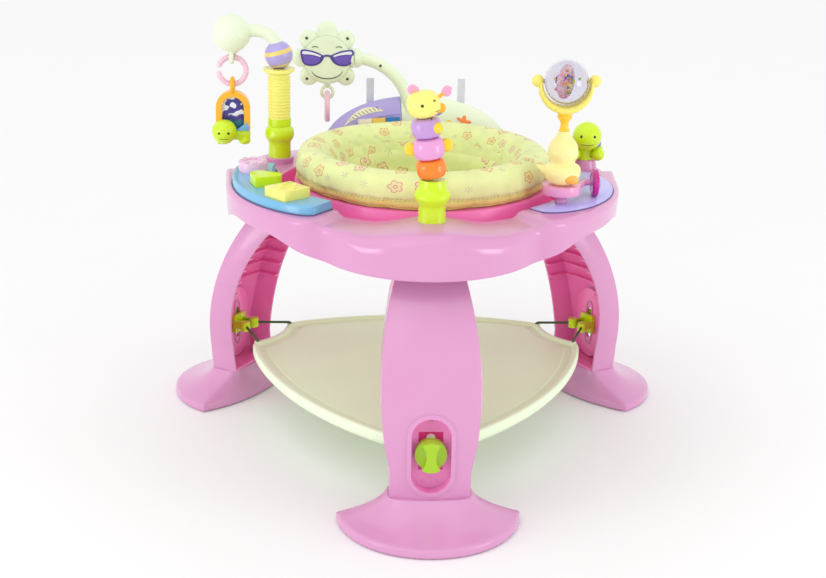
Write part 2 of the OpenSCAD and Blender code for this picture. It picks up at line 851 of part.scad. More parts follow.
module knob(a) {
    color(lime) about_axis(a) translate([knob_x, 0, adjust_z]) rotate([90, 0, 90]) difference() {
        union() {
            cylinder(h = knob_t, r = knob_r);
            // Waisted grip bar
            linear_extrude(knob_t + grip_h) difference() {
                intersection() {
                    circle(knob_r - slip);
                    square([2 * grip_w, 2 * knob_r], center = true);
                }
                for (s = [-1, 1]) translate([s * (grip_waist_r + grip_w / 2), 0]) circle(grip_waist_r);
            }
        }
        translate([0, 0, -overrun]) cylinder(h = shaft_end_x - knob_x + 2 * overrun, r = shaft_r + running);
    }
}

module knob_front() knob(front_deg);
module knob_left() knob(left_deg);
module knob_right() knob(right_deg);

module cords() {
    color(dark_green) for (a = LEG_ANGLES) for (s = [-1, 1]) about_axis(a) {
        v = (horn_at(s) - eye_at(s)) / norm(horn_at(s) - eye_at(s));
        rod(eye_at(s) - v * (eye_r + knot_r), horn_at(s), cord_d / 2);
        translate(eye_at(s) - v * (eye_r + knot_r + slip)) sphere(knot_r);
        translate(horn_at(s)) sphere(cord_bend_r);
        rod(horn_at(s), horn_at(s) - [0, 0, deck_h + cord_bend_r + knot_r], cord_d / 2);
        translate([horn_x, s * horn_w / 2, deck_top - deck_h - knot_r - slip]) sphere(knot_r);
    }
}

module deck_plan(inset) {
    difference() {
        intersection_for (a = LEG_ANGLES) rotate(a) intersection() {
            translate([deck_side_c, 0]) circle(deck_side_r - inset, $fn = 128);
            translate([deck_corner_r - inset - reach_all, -reach_all / 2]) square([reach_all, reach_all]);
        }
        for (a = LEG_ANGLES) rotate(a) translate([notch_x, 0]) circle(notch_r + inset);
    }
}

module platform_deck() {
    color(cream) translate([0, axis_y, deck_top - deck_h]) difference() {
        union() {
            linear_extrude(deck_h / 2) deck_plan(deck_rim / 2);
            translate([0, 0, deck_h / 4]) linear_extrude(deck_h * 3 / 4) deck_plan(0);
        }
        translate([0, 0, deck_h - deck_dish]) linear_extrude(deck_dish + overrun) deck_plan(deck_rim);
        translate([0, 0, -overrun]) linear_extrude(deck_under + overrun) deck_plan(2 * deck_rim);
        for (a = LEG_ANGLES) for (s = [-1, 1])
            rotate([0, 0, a]) translate([horn_x, s * horn_w / 2, -overrun])
                cylinder(h = deck_h + 2 * overrun, r = horn_hole_r);
    }
}

// Seat
module seat_race() {
    color(magenta) translate([0, axis_y, race_z]) rotate_extrude($fn = 128) union() {
        translate([lip_r, 0]) square([race_out_r - lip_r, race_ledge]);
        translate([race_out_r - race_wall, 0]) square([race_wall, race_h]);
    }
}

module seat_ring() {
    color(magenta) translate([0, axis_y, 0]) rotate_extrude($fn = 128) union() {
        translate([ring_in_r, ring_z]) square([ring_out_r - ring_in_r, ring_wall]);
        translate([ring_in_r, ring_z]) square([ring_wall, ring_top - ring_z]);
        translate([ring_shelf_r, ring_top - ring_wall])
            square([ring_in_r + ring_wall - ring_shelf_r, ring_wall]);
    }
}

module seat_glides() {
    color(cream) for (i = [0:glide_count - 1]) about_axis(i * 360 / glide_count)
        translate([(lip_r + ring_out_r) / 2, 0, ring_z - glide_h]) cylinder(h = glide_h, r = glide_r);
}

module seat_hoop() {
    thin_x = hoop_hole_r + hoop_thin_r;
    fat_x = hoop_r - hoop_fat_r;
    color(cloth) translate([0, axis_y, hoop_z_mid]) rotate_extrude($fn = 128) difference() {
        union() {
            translate([fat_x, 0]) circle(hoop_fat_r);
            translate([thin_x, 0]) circle(hoop_thin_r);
            translate([thin_x, -hoop_thin_r]) square([fat_x - thin_x, 2 * hoop_thin_r]);
        }
        // Sewn welt round the lower edge
        translate([hoop_r, welt_lift - hoop_fat_r * 0.75]) circle(welt_r);
    }
}

module seat_sling() {
    bowl = curve(sling_shares, 3);
    low = len(bowl) - 1;
    hem_r = ring_shelf_r - slip;
    color(cloth) translate([0, axis_y, ring_top - sling_depth]) difference() {
        // Bowl with a hem that reaches the turning ring
        rotate_extrude($fn = 96) polygon(concat(
            [[hem_r, sling_depth], [hem_r, sling_depth - sling_wall], [sling_r, sling_depth - sling_wall]],
            [for (i = [1:low]) [max(0, bowl[i][0]) * sling_r, max(0, bowl[i][1]) * sling_depth]],
            [for (i = [low:-1:0]) [
                max(0, bowl[i][0]) * (sling_r - sling_wall),
                sling_wall + max(0, bowl[i][1]) * (sling_depth - sling_wall)
            ]]
        ));
        for (s = [-1, 1]) translate([s * leg_hole_x, 0, -overrun])
            cylinder(h = sling_depth / 2, r = leg_hole_r);
    }
}

// Left station
module sector_plan(from_deg, to_deg, in_r, gap, inset) {
    span = to_deg - from_deg;
    polygon(concat(
        [for (i = [0:sector_steps]) let (t = i / sector_steps, a = from_deg + span * t,
            full = tray_reach(a) - gap - in_r, keep = pow(sin(180 * (0.02 + 0.96 * t)), 0.35))
            (in_r + full * keep - inset) * [cos(a), sin(a)]],
        [for (i = [sector_steps:-1:0])
            let (a = from_deg + span * i / sector_steps) (in_r + inset) * [cos(a), sin(a)]]
    ));
}

module square_plan(play) {
    rotate(square_turn) square([square_w + 2 * play, square_w + 2 * play], center = true);
}

module heart_plan(play) {
    rotate(heart_turn) union() {
        square([2 * heart_r + 2 * play, 2 * heart_r + 2 * play], center = true);
        translate([heart_r, 0]) circle(heart_r + play);
        translate([0, heart_r]) circle(heart_r + play);
    }
}

module shape_tray() {
    color(blue) translate([0, axis_y, shape_top]) difference() {
        union() {
            linear_extrude(shape_h / 2)
                sector_plan(shape_from_deg, shape_to_deg, well_r + shape_inner_gap, shape_gap, 0);
            linear_extrude(shape_h)
                sector_plan(shape_from_deg, shape_to_deg, well_r + shape_inner_gap, shape_gap, shape_step);
        }
        translate([0, 0, shape_h - pocket_d]) {
            translate(square_at) linear_extrude(pocket_d + overrun) square_plan(block_play);
            translate(heart_at) linear_extrude(pocket_d + overrun) heart_plan(block_play);
            translate(round_at) cylinder(h = pocket_d + overrun, r = round_r + block_play);
        }
    }
}

module block_seat(at) {
    standing(at, shape_top + shape_h - pocket_d + block_travel + slip) children();
}

module block_square() {
    color(yellow) block_seat(square_at) {
        linear_extrude(block_h) square_plan(0);
        for (i = [0:3]) rotate([0, 0, 90 * i + square_turn]) translate([square_w / 4, 0, 0])
            cylinder(h = block_h + block_travel / 2, r = square_w / 8);
    }
}

module block_heart() {
    color(lime) block_seat(heart_at) linear_extrude(block_h) heart_plan(0);
}

module block_round() {
    color(pink) block_seat(round_at) {
        cylinder(h = block_h, r = round_r);
        for (i = [0:petal_count - 1]) rotate([0, 0, i * 360 / petal_count])
            translate([round_r - petal_r * 1.2, 0, 0]) cylinder(h = block_h + block_travel / 2, r = petal_r);
    }
}

// Left post, arm and hanging turtle
module post_base() {
    color(lime) standing(left_at, left_base_z) turned(left_base_shares, left_base_r, left_base_h);
}

module post_tube() {
    color(yellow) standing(left_at, tube_z) difference() {
        union() {
            cylinder(h = tube_h, r = tube_r);
            for (i = [1:tube_ribs]) translate([0, 0, (tube_h - tube_flange_h) * i / (tube_ribs + 1)])
                torus(tube_r, tube_rib_r);
            translate([0, 0, tube_h - tube_flange_h])
                cylinder(h = tube_flange_h / 2, r1 = tube_r, r2 = tube_flange_r);
            translate([0, 0, tube_h - tube_flange_h / 2]) cylinder(h = tube_flange_h / 2, r = tube_flange_r);
        }
        translate([0, 0, tube_h - stem_l - overrun])
            cylinder(h = stem_l + 2 * overrun, r = stem_r + running);
        translate([0, 0, stripe_ball_z - tube_z]) sphere(stripe_ball_r + slip);
    }
}

module arm_bend(r) {
    translate([-arm_bend_r, 0, arm_lift]) rotate([90, 0, 0])
        rotate_extrude(angle = 90) translate([arm_bend_r, 0]) circle(r);
}

module swivel_ball() {
    color(lavender) standing(left_at, stripe_ball_z) difference() {
        union() {
            sphere(stripe_ball_r);
            translate([0, 0, tube_z + tube_h - stem_l - stripe_ball_z]) cylinder(h = stem_l, r = stem_r);
        }
        arm_bend(arm_r + running);
    }
}

module toy_arm() {
    color(pale_green) {
        standing(left_at, stripe_ball_z) arm_bend(arm_r);
        standing([arm_ball_x, left_at[1]], 0) {
            translate([0, 0, arm_ball_z]) rotate([0, 0, 180]) sphere(arm_ball_r);
            translate([0, 0, arm_ball_z + arm_drop]) rotate([0, 90, 0])
                cylinder(h = left_arm_x - arm_bend_r, r = arm_r);
            translate([0, 0, lug_z]) rotate([0, 90, 0]) torus(loop_r, loop_wire_r);
        }
    }
}

module link_left() {
    color(pink) standing([arm_ball_x, left_at[1]], link_z) rotate([90, 0, 0]) torus(link_r, link_wire_r);
}

module arch_plan(inset) {
    union() {
        circle(arch_r - inset);
        translate([inset - arch_r, -arch_leg]) square([2 * (arch_r - inset), arch_leg]);
    }
}

module hanging_arch() {
    color(gold) translate([arm_ball_x, axis_y + left_at[1], 0]) {
        translate([0, 0, hook_z]) rotate([0, 90, 0]) torus(loop_r, loop_wire_r);
        translate([0, arch_t / 2, arch_z]) rotate([90, 0, 0]) difference() {
            linear_extrude(arch_t) arch_plan(0);
            translate([0, 0, -overrun]) linear_extrude(arch_t + 2 * overrun) arch_plan(arch_wall);
        }
    }
}

module hanging_turtle() {
    color(lime) translate([arm_ball_x, axis_y + left_at[1], arch_z - arch_leg]) {
        translate([0, arch_panel_t / 2, arch_leg]) rotate([90, 0, 0])
            linear_extrude(arch_panel_t) arch_plan(arch_wall + slip);
        translate([-arch_r, -arch_t / 2, -2 * turtle_foot_r]) cube([2 * arch_r, arch_t, 2 * turtle_foot_r]);
        difference() {
            translate([-arch_r / 2, -arch_t, -slip]) sphere(turtle_head_r);
            translate([-arch_r * 2, -arch_t / 2 - slip, 0]) cube([4 * arch_r, 2 * arch_t, 2 * arch_leg]);
        }
        for (s = [-1, 1]) translate([s * arch_r * 0.65, 0, -2 * turtle_foot_r]) sphere(turtle_foot_r);
    }
}

// Flower and its arm
module flower_arm() {
    color(pale_green) translate([0, axis_y + flower_y, 0]) {
        translate([arm_end_x, 0, flower_z - flower_bend_r]) rotate([90, 0, 0])
            rotate_extrude(angle = 90) translate([flower_bend_r, 0]) circle(arm_tube_r);
        translate([arm_post_x, 0, tray_top])
            cylinder(h = flower_z - flower_bend_r - tray_top, r = arm_tube_r);
        translate([arm_end_x, 0, flower_z]) rotate([0, -90, 0]) cylinder(h = flower_pin_l, r = flower_pin_r);
    }
}

module flower_plan() {
    circle(flower_r);
    for (i = [1, 2, 3, 4, 5, 7]) rotate(45 * i) translate([petal_out_r - petal_tip_r, 0])
        circle(i == 2 ? petal_top_r : petal_tip_r);
    translate([0, -ring_drop]) circle(ring_hole_r + ring_band);
    translate([-ring_hole_r, -ring_drop]) square([2 * ring_hole_r, ring_drop]);
}

module flower_head() {
    color(pale_green) translate([flower_at_x, axis_y + flower_y, flower_z]) difference() {
        union() {
            translate([0, flower_t / 2, 0]) rotate([90, 0, 0]) linear_extrude(flower_t) flower_plan();
            rotate([0, 90, 0]) cylinder(h = arm_end_x - flower_at_x - slip, r = flower_hub_r);
            translate([0, -flower_t / 2, 0]) rotate([90, 0, 0])
                cylinder(h = face_h, r1 = flower_r * 0.95, r2 = flower_r * 0.8);
        }
        translate([arm_end_x - flower_at_x - flower_pin_l - overrun, 0, 0]) rotate([0, 90, 0])
            cylinder(h = flower_pin_l + 2 * overrun, r = flower_pin_r + running);
        translate([0, 0, -ring_drop]) rotate([90, 0, 0])
            cylinder(h = 2 * flower_t, r = ring_hole_r, center = true);
        for (s = [-1, 1]) translate([0, s * flower_t / 2, -ring_drop - ring_hole_r])
            cube([2 * flower_r, flower_t * 2 / 3, 2 * ring_hole_r + ring_band], center = true);
    }
}

module link_flower() {
    color(pink) translate([flower_at_x, axis_y + flower_y, flower_link_z]) rotate([0, 90, 0])
        torus(link_r, link_wire_r);
}

// Bug
module on_bug(z) {
    translate([0, axis_y - post_r, bug_z]) rotate([0, -bug_tilt, 0]) translate([0, 0, z]) children();
}

module bug_base() {
    color(lime) translate([0, axis_y - post_r, bug_base_z]) difference() {
        turned(bug_base_shares, bug_base_r, bug_base_h);
        translate([0, 0, bug_base_h]) rotate([0, -bug_tilt, 0]) translate([0, 0, -bug_base_h / 2])
            cylinder(h = bug_base_h, r = bug_shaft_r + running);
    }
}

module bug_shaft() {
    color(cream) on_bug(-bug_base_h / 2)
        cylinder(h = bug_base_h / 2 + head_z + head_h / 2, r = bug_shaft_r);
}

module bead(i, r) {
    on_bug(bead_zs[i]) difference() {
        union() {
            turned(bead_shares, r, bead_hs[i]);
            children();
        }
        translate([0, 0, -overrun]) cylinder(h = bead_hs[i] + 2 * overrun, r = bug_shaft_r + running);
    }
}

module bead_orange() color(orange) bead(0, bead_r);

module bead_pink() {
    color(pink) bead(1, bead_r * 1.06) for (s = [-1, 1])
        translate([s * (bead_r + bug_pad_r / 2), 0, bead_hs[1] * 0.55]) rotate([90, 0, 0])
            cylinder(h = bug_pad_t, r = bug_pad_r, center = true);
}

module bead_purple() {
    color(lavender) bead(2, bead_r)
        translate([bead_r * 0.7, -bead_r * 0.6, bead_hs[2] * 0.5]) rotate([90, 0, 50])
            cylinder(h = bug_pad_t, r = bug_pad_r, center = true);
}

module bug_head() {
    color(yellow) on_bug(head_z) difference() {
        union() {
            turned(head_shares, head_r, head_h);
            translate([0, 0, head_h / 2]) rotate([0, feeler_tilt, 0])
                for (s = [-1, 1]) translate([s * head_r * 0.62, 0, head_h * 0.2]) {
                    rod([0, 0, 0], [s * feeler_r, 0, feeler_r * 1.6], feeler_wire_r);
                    translate([s * feeler_r * 2, 0, feeler_r * 2]) rotate([90, 0, 0])
                        torus(feeler_r, feeler_wire_r);
                }
        }
        translate([0, 0, -overrun]) cylinder(h = head_h / 2 + 2 * overrun, r = bug_shaft_r + running);
    }
}

// Right station
module plate_right() {
    color(lavender) translate([0, axis_y, shape_top]) linear_extrude(plate_h)
        sector_plan(plate_from_deg, plate_to_deg, well_r + shape_inner_gap, shape_gap, 0);
}

module boat() {
    axle_z = shape_top + plate_h + wheel_r + slip;
    root = [duck_at[0] + boat_r * 0.7, duck_at[1], axle_z];
    elbow = [wheel_at[0] - wheel_w * 1.3, wheel_at[1], axle_z];
    color(pink) {
        standing(duck_at, boat_z) rotate([0, 0, 120]) {
            turned(boat_shares, boat_r, boat_hull_h);
            translate([0, 0, boat_hull_h - overrun])
                cylinder(h = boat_h - boat_hull_h + overrun, r = boat_r);
        }
        translate([0, axis_y, 0]) {
            rod(root, elbow + (elbow - root) * 0.17, axle_r * 1.25);
            rod(elbow, elbow + [wheel_w * 1.8, 0, 0], axle_r);
        }
    }
}

module at_wheel() {
    standing(wheel_at, shape_top + plate_h + wheel_r + slip) rotate([0, 90, 0]) children();
}

module wheel_tyre() {
    color(magenta) at_wheel() difference() {
        union() {
            torus(wheel_r - wheel_tyre_r, wheel_tyre_r);
            cylinder(h = wheel_w * 0.8, r = wheel_r - wheel_tyre_r, center = true);
        }
        cylinder(h = wheel_w * 2, r = wheel_r - 2 * wheel_tyre_r, center = true);
    }
}

module wheel_hub() {
    hub_r = wheel_r - 2 * wheel_tyre_r;
    color(lavender) at_wheel() difference() {
        union() {
            cylinder(h = wheel_w * 0.8, r = hub_r, center = true);
            translate([0, 0, wheel_w * 0.4]) cylinder(h = wheel_w * 0.3, r1 = hub_r * 1.3, r2 = hub_r * 0.7);
        }
        translate([0, 0, -wheel_w]) cylinder(h = wheel_w * 1.5 + slip, r = axle_r + running);
    }
}

module duck() {
    color(yellow) standing(duck_at, duck_z) difference() {
        union() {
            turned(duck_shares, duck_r, duck_h);
            translate([-duck_r * 0.6, 0, duck_h * 0.24]) rotate([0, -70, 0])
                cylinder(h = duck_tail, r1 = duck_r * 0.45, r2 = duck_r * 0.08);
        }
        translate([0, 0, duck_h - moon_pin_l]) cylinder(h = moon_pin_l + overrun, r = moon_pin_r + running);
    }
}

module moon_yoke() {
    yoke_r = clear_r + yoke_gap;
    color(gold) standing(duck_at, 0) {
        translate([0, 0, moon_z]) turned(goblet_shares, goblet_r, goblet_h);
        translate([0, 0, moon_z - moon_pin_l + slip + overrun]) cylinder(h = moon_pin_l, r = moon_pin_r);
        translate([0, yoke_t / 2, clear_z]) rotate([90, 0, 0]) linear_extrude(yoke_t) difference() {
            circle(yoke_r + yoke_band);
            circle(yoke_r);
            translate([-reach_all / 2, 0]) square([reach_all, reach_all]);
        }
        for (s = [-1, 1]) {
            translate([s * (yoke_r + yoke_band / 2), 0, clear_z]) rotate([0, s * 90, 0])
                turned(knob_end_shares, yoke_knob_r, yoke_knob_r * 1.4);
            translate([s * yoke_r * 0.9, 0, clear_z]) rotate([0, s * 90, 0])
                cylinder(h = yoke_r * 0.1 + yoke_band, r = yoke_pin_r);
        }
    }
}

module clear_ball() {
    color("#e8ecf2", 0.4) standing(duck_at, clear_z) difference() {
        sphere(clear_r);
        sphere(clear_r - clear_wall);
        rotate([0, 90, 0]) cylinder(h = 3 * clear_r, r = yoke_pin_r + running, center = true);
    }
}

module rattle_core() {
    core_r = clear_r - clear_wall - slip;
    color(yellow) standing(duck_at, clear_z) {
        rotate([90, 0, 0]) cylinder(h = core_t, r = core_r - slip, center = true);
        for (i = [0:5]) rotate([0, 60 * i, 0]) translate([core_r * 0.55, 0, 0]) sphere(core_bead_r);
    }
}

// Turtle on its pedestal
module at_perch() {
    standing(perch_at, tray_top + perch_h + slip) rotate([0, 0, perch_turn]) children();
}

module perch_turtle() {
    color(lime) at_perch() {
        translate([0, 0, -perch_h / 2]) cylinder(h = perch_h, r = perch_pin_r);
        cylinder(h = 2 * perch_foot_r, r = perch_r * 0.8);
        translate([perch_head_r * 0.8, 0, perch_head_z]) sphere(perch_head_r);
        for (s = [-1, 1]) for (t = [-1, 1])
            translate([t * perch_r * 0.8, s * perch_r * 0.95, perch_foot_r]) sphere(perch_foot_r);
    }
}

module perch_shell() {
    color(purple) at_perch() difference() {
        translate([-perch_shell_r * 0.3, 0, 2 * perch_foot_r]) sphere(perch_shell_r);
        translate([-reach_all / 2, -reach_all / 2, 2 * perch_foot_r + slip - reach_all]) cube(reach_all);
        translate([perch_head_r * 0.8, 0, perch_head_z]) sphere(perch_head_r + slip);
    }
}

// Music panel
function panel_rise(a) = panel_h
    * pow(sin(180 * (a - panel_to_deg + panel_end_deg) / panel_span_deg), panel_blunt);
function panel_ring(a) = [for (p = curve(panel_shares, 2))
    let (r = panel_in_r + (panel_out_r - panel_in_r) * p[0])
    [r * cos(a), r * sin(a), max(0, p[1]) * panel_rise(a)]];

module panel_part(from_deg, to_deg) {
    translate([0, axis_y, tray_top])
        skin([for (i = [0:panel_steps]) panel_ring(to_deg + (from_deg - to_deg) * i / panel_steps)], false);
}

module at_face(a, z) {
    about_axis(a) translate([key_x, 0, z]) rotate([0, face_slope - 90, 0]) children();
}

module music_panel() {
    color(lavender) difference() {
        panel_part(panel_mid_deg + panel_seam_deg, panel_from_deg);
        for (a = key_degs) at_face(a, key_z) face_socket();
        at_face(button_deg, button_z) face_socket();
    }
}

module face_socket() {
    translate([0, 0, -key_stem_l - key_travel - overrun])
        cylinder(h = 2 * key_stem_l + key_travel + 2 * overrun, r = key_stem_r + slip);
}

module panel_dome() {
    color(pale_green) difference() {
        panel_part(panel_to_deg, panel_mid_deg - panel_seam_deg);
        translate([arm_post_x - arm_drift / 2, axis_y + flower_y, 0])
            cylinder(h = reach_all, r = dome_bore_r);
    }
}

module key_stem() {
    translate([0, 0, -key_stem_l]) cylinder(h = key_stem_l + key_gap + key_t / 2, r = key_stem_r);
}

module key(a) {
    at_face(a, key_z) {
        translate([-key_h / 2, -key_w / 2, key_gap]) cube([key_h, key_w, key_t]);
        key_stem();
    }
}

module key_white() color(cream) key(key_degs[0]);
module key_yellow() color(yellow) key(key_degs[1]);
module key_blue() color(blue) key(key_degs[2]);

module panel_button() {
    color(lime) at_face(button_deg, button_z) {
        translate([0, 0, key_gap]) cylinder(h = key_t, r = button_r);
        key_stem();
    }
}

module panel_tabs() {
    color("#d9dade") for (a = tab_as) about_axis(a)
        translate([panel_out_r + slip, -tab_w / 2, tray_top]) cube([tab_t, tab_w, panel_h + tab_h]);
}

tray_ring();
seat_race();
leg_front();
leg_left();
leg_right();
foot_front();
foot_left();
foot_right();
foot_pads();
frame_screws();
clip_front();
clip_left();
clip_right();
knob_front();
knob_left();
knob_right();
cords();
platform_deck();
seat_ring();
seat_glides();
seat_hoop();
seat_sling();
shape_tray();
block_square();
block_heart();
block_round();
toy_bosses();
post_base();
post_tube();
swivel_ball();
toy_arm();
link_left();
hanging_arch();
hanging_turtle();
flower_arm();
flower_head();
link_flower();
bug_base();
bug_shaft();
bead_orange();
bead_pink();
bead_purple();
bug_head();
plate_right();
boat();
wheel_tyre();
wheel_hub();
duck();
moon_yoke();
clear_ball();
rattle_core();
perch_turtle();
perch_shell();
music_panel();
panel_dome();
key_white();
key_yellow();
key_blue();
panel_button();
panel_tabs();
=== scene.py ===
"""Looks of a three-legged baby jumper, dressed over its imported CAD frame."""

from collections import Counter
from functools import cache
from math import acos, asin, atan2, copysign, cos, degrees, exp, hypot, pi, radians, sin, sqrt

import bmesh
import bpy
import numpy as np
from mathutils import Matrix, Vector
from mathutils.bvhtree import BVHTree


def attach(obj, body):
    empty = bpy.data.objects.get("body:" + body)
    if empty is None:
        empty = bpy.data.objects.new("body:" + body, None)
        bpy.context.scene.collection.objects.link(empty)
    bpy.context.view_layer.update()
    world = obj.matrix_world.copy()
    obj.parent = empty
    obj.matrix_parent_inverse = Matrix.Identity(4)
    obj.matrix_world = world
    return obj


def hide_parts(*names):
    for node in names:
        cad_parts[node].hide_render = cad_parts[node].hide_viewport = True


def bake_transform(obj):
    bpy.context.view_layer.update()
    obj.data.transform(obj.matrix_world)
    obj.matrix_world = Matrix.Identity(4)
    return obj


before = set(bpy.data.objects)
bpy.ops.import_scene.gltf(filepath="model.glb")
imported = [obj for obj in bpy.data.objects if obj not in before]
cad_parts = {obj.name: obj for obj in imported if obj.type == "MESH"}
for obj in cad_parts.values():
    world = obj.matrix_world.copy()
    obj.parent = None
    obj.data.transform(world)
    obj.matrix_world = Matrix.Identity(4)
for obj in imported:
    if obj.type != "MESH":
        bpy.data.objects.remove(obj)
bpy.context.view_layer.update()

bl_info = {
    "name": "Baby jumper frame",
    "version": (1, 0, 0),
    "blender": (4, 5, 0),
    "location": "View3D > Sidebar > Jumper",
    "description": "Dresses the jumper's solids with moulded plastic, padded cloth and toys",
    "category": "Object",
}

# Millimetres of the part's own source, turned to metres when a mesh is made
MM = 0.001
AXIS_Y = 76.618
LEGS = (-90, 30, 150)
NAMED_LEGS = tuple(zip(("front", "right", "left"), LEGS))
TRAY_TOP = 392.0
TRAY_LOW = 341.0
TRAY_WALL = 3.5
TRAY_LOBE_X, TRAY_LOBE_R, STATION_R = 159, 158, 290
WELL_R = 215.0
LIP_R = 198.0
LIP_Z = 342.0
SHAPE_TOP, SHAPE_FROM, SHAPE_TO = 400.0, 171, 233
POST_R = 250.0
HOOP_TOP = 452.0
HOOP_H = 52.0
HOOP_R = 190.0
HOOP_HOLE_R = 126.0
HOOP_MID_R, HOOP_MID_Z = (HOOP_R + HOOP_HOLE_R) / 2, HOOP_TOP - HOOP_H / 2
HOOP_HALF_W, HOOP_HALF_H = (HOOP_R - HOOP_HOLE_R) / 2, HOOP_H / 2
RING_TOP = 399.7
SLING_DEPTH = 128.0
SLING_R = 134.0
LEG_HOLE_X = 58.0
LEG_HOLE_R = 40.0
DECK_TOP = 106.0
DECK_SIDE_X, DECK_SIDE_R, DECK_CORNER = 332, 556, 274
DECK_NOTCH_X, DECK_NOTCH_R = 338, 80
CORD_EYE_X, CORD_EYE_Y = 311.7, 12
CORD_HORN_X, CORD_HORN_Y = 264, 49
LEG_X, LEG_R, LEG_Z = 18, 340, 100
ADJUST_Z = 112.0
LEFT_X, LEFT_Y = -216.5, 125.0
BALL_Z = 560.0
ARM_BALL_X, LINK_Z = -287.5, 535.3
LINK_R, LINK_WIRE = 21.0, 4.5
FLOWER_X, FLOWER_Y, FLOWER_Z = -144.0, 240.0, 536.0
FLOWER_LINK_Z = 457.1
TURTLE_Z = 444.35
BUG_Z, BUG_TILT = 463.0, -8
DUCK_X, DUCK_Y = 188.0, -134.0
MOON_Z, CLEAR_Z = 503.8, 571.8
PERCH_A = 19.5
PANEL_IN, PANEL_OUT, PANEL_H = 222.0, 268.0, 82.0
PANEL_FROM, PANEL_SPAN = 57, 70
FORWARD = Vector((0, -1, 0))
# Metres within which the loose corners of a solid's triangles are one point
WELD = 2e-6
MATERIAL_INPUT = ("Material", "Material", None)


def srgb(r, g, b):
    """Scene-linear colour from an 8-bit display colour."""
    out = []
    for v in (r, g, b):
        v /= 255.0
        out.append(v / 12.92 if v <= 0.04045 else ((v + 0.055) / 1.055) ** 2.4)
    return (*out, 1.0)


def shaded(colour, share):
    return (*(v * share for v in colour[:3]), 1.0)


def colour_prop(label, text, rgb):
    return bpy.props.FloatVectorProperty(
        name=label, description=text, subtype="COLOR", size=4, min=0, max=1, default=srgb(*rgb)
    )


class JumperColours(bpy.types.PropertyGroup):
    """Colours of the mouldings, cloth and cords"""

    pink: colour_prop("Pink", "Tray, legs and feet", (219, 152, 198))
    # Magenta is painted shade and glow: the pink plastic where it lies in shade in the seat well and the leg
    # channels, and where light comes through its thin walls.
    magenta: colour_prop("Magenta", "Seat well and inside of the legs", (255, 132, 202))
    # Pocket is painted shade: a deeper pink inside the knob pockets, where shade falls in the recess.
    pocket: colour_prop("Pocket", "Inside of the knob pockets", (240, 134, 200))
    lime: colour_prop("Lime", "Post bases, knobs and turtles", (208, 240, 10))
    yellow: colour_prop("Yellow", "Tube, duck and crescent", (248, 243, 126))
    gold: colour_prop("Gold", "Hanging arch and goblet neck", (252, 184, 14))
    orange: colour_prop("Orange", "Lowest bead", (255, 132, 0))
    pale_green: colour_prop("Pale green", "Flower, arms and dome", (234, 246, 216))
    lavender: colour_prop("Lavender", "Panel, inlay and swivel ball", (180, 166, 228))
    purple: colour_prop("Purple", "Turtle shell and glasses", (106, 78, 190))
    blue: colour_prop("Blue", "Shape tray", (118, 186, 226))
    cream: colour_prop("Cream", "Dish of the bounce platform", (236, 255, 216))
    rim: colour_prop("Platform rim", "Rim of the bounce platform", (238, 255, 220))
    wheel: colour_prop("Wheel", "Tyre of the rolling wheel", (196, 0, 146))
    cloth: colour_prop("Cloth", "Ground of the printed cloth", (234, 242, 170))
    cord: colour_prop("Cord", "Cords of the bounce platform", (74, 110, 62))


def length_prop(label, text, default, least):
    return bpy.props.FloatProperty(name=label, description=text, unit="LENGTH", default=default, min=least)


class JumperSizes(bpy.types.PropertyGroup):
    """Sizes of the finish that can be changed without touching the solids"""

    edge: length_prop("Edge softness", "Rounding of moulded edges", 0.0008, 0.0)
    stitch: length_prop("Stitch length", "Length of one sewn stitch", 0.0042, 0.001)
    stitch_step: length_prop("Stitch step", "Distance between stitches", 0.0062, 0.002)
    print_size: length_prop("Print size", "Spacing of the flowers on the cloth", 0.033, 0.01)
    puff: length_prop("Puff", "Furthest that the padding swells", 0.005, 0.001)
    cord: length_prop("Cord", "Diameter of the platform cords", 0.004, 0.002)
    screw: length_prop("Screw", "Radius of the small screw recesses", 0.0024, 0.001)
    ridge_step: length_prop("Ridge step", "Spacing of the ridges on the ring links", 0.0042, 0.002)


def colours():
    return bpy.context.scene.jumper_colours


def sizes():
    return bpy.context.scene.jumper_sizes


# Mesh helpers


def linked(name, data):
    obj = bpy.data.objects.new(name, data)
    bpy.context.scene.collection.objects.link(obj)
    return obj


def make(name, verts, faces, mats, index=None, sharp=35.0, scale=MM):
    """Object at the origin from points in millimetres, with its faces turned outwards."""
    mesh = bpy.data.meshes.new(name)
    mesh.from_pydata([tuple(c * scale for c in v) for v in verts], [], faces)
    for m in mats if isinstance(mats, (list, tuple)) else [mats]:
        mesh.materials.append(m)
    if index is not None:
        mesh.polygons.foreach_set("material_index", index)
    work = bmesh.new()
    work.from_mesh(mesh)
    bmesh.ops.remove_doubles(work, verts=work.verts, dist=1e-6)
    bmesh.ops.recalc_face_normals(work, faces=work.faces)
    work.to_mesh(mesh)
    work.free()
    return smooth(linked(name, mesh), sharp)


def smooth(obj, sharp=35.0):
    obj.data.polygons.foreach_set("use_smooth", [True] * len(obj.data.polygons))
    obj.data.set_sharp_from_angle(angle=radians(sharp))
    return obj


def loft(rings, closed=False, cap=True, loop=True):
    """Points and faces of a skin over rings with the same number of points."""
    n, m = len(rings), len(rings[0])
    verts = [p for r in rings for p in r]
    faces = []
    for i in range(n if closed else n - 1):
        o = ((i + 1) % n) * m
        for j in range(m if loop else m - 1):
            k = (j + 1) % m
            faces.append((i * m + j, i * m + k, o + k, o + j))
    if cap and not closed:
        faces.append(tuple(range(m - 1, -1, -1)))
        faces.append(tuple((n - 1) * m + j for j in range(m)))
    return verts, faces


def lathe(profile, steps=56, place=None):
    """Turned shape from (radius, height) points, closed on its axis."""
    rings = []
    for r, z in profile:
        r = max(r, 0.0005)
        rings.append([(r * cos(t), r * sin(t), z) for t in turns(steps)])
    verts, faces = loft(rings)
    return moved(verts, place), faces


def moved(verts, place):
    if place is None:
        return verts
    return [tuple(place @ Vector(v)) for v in verts]


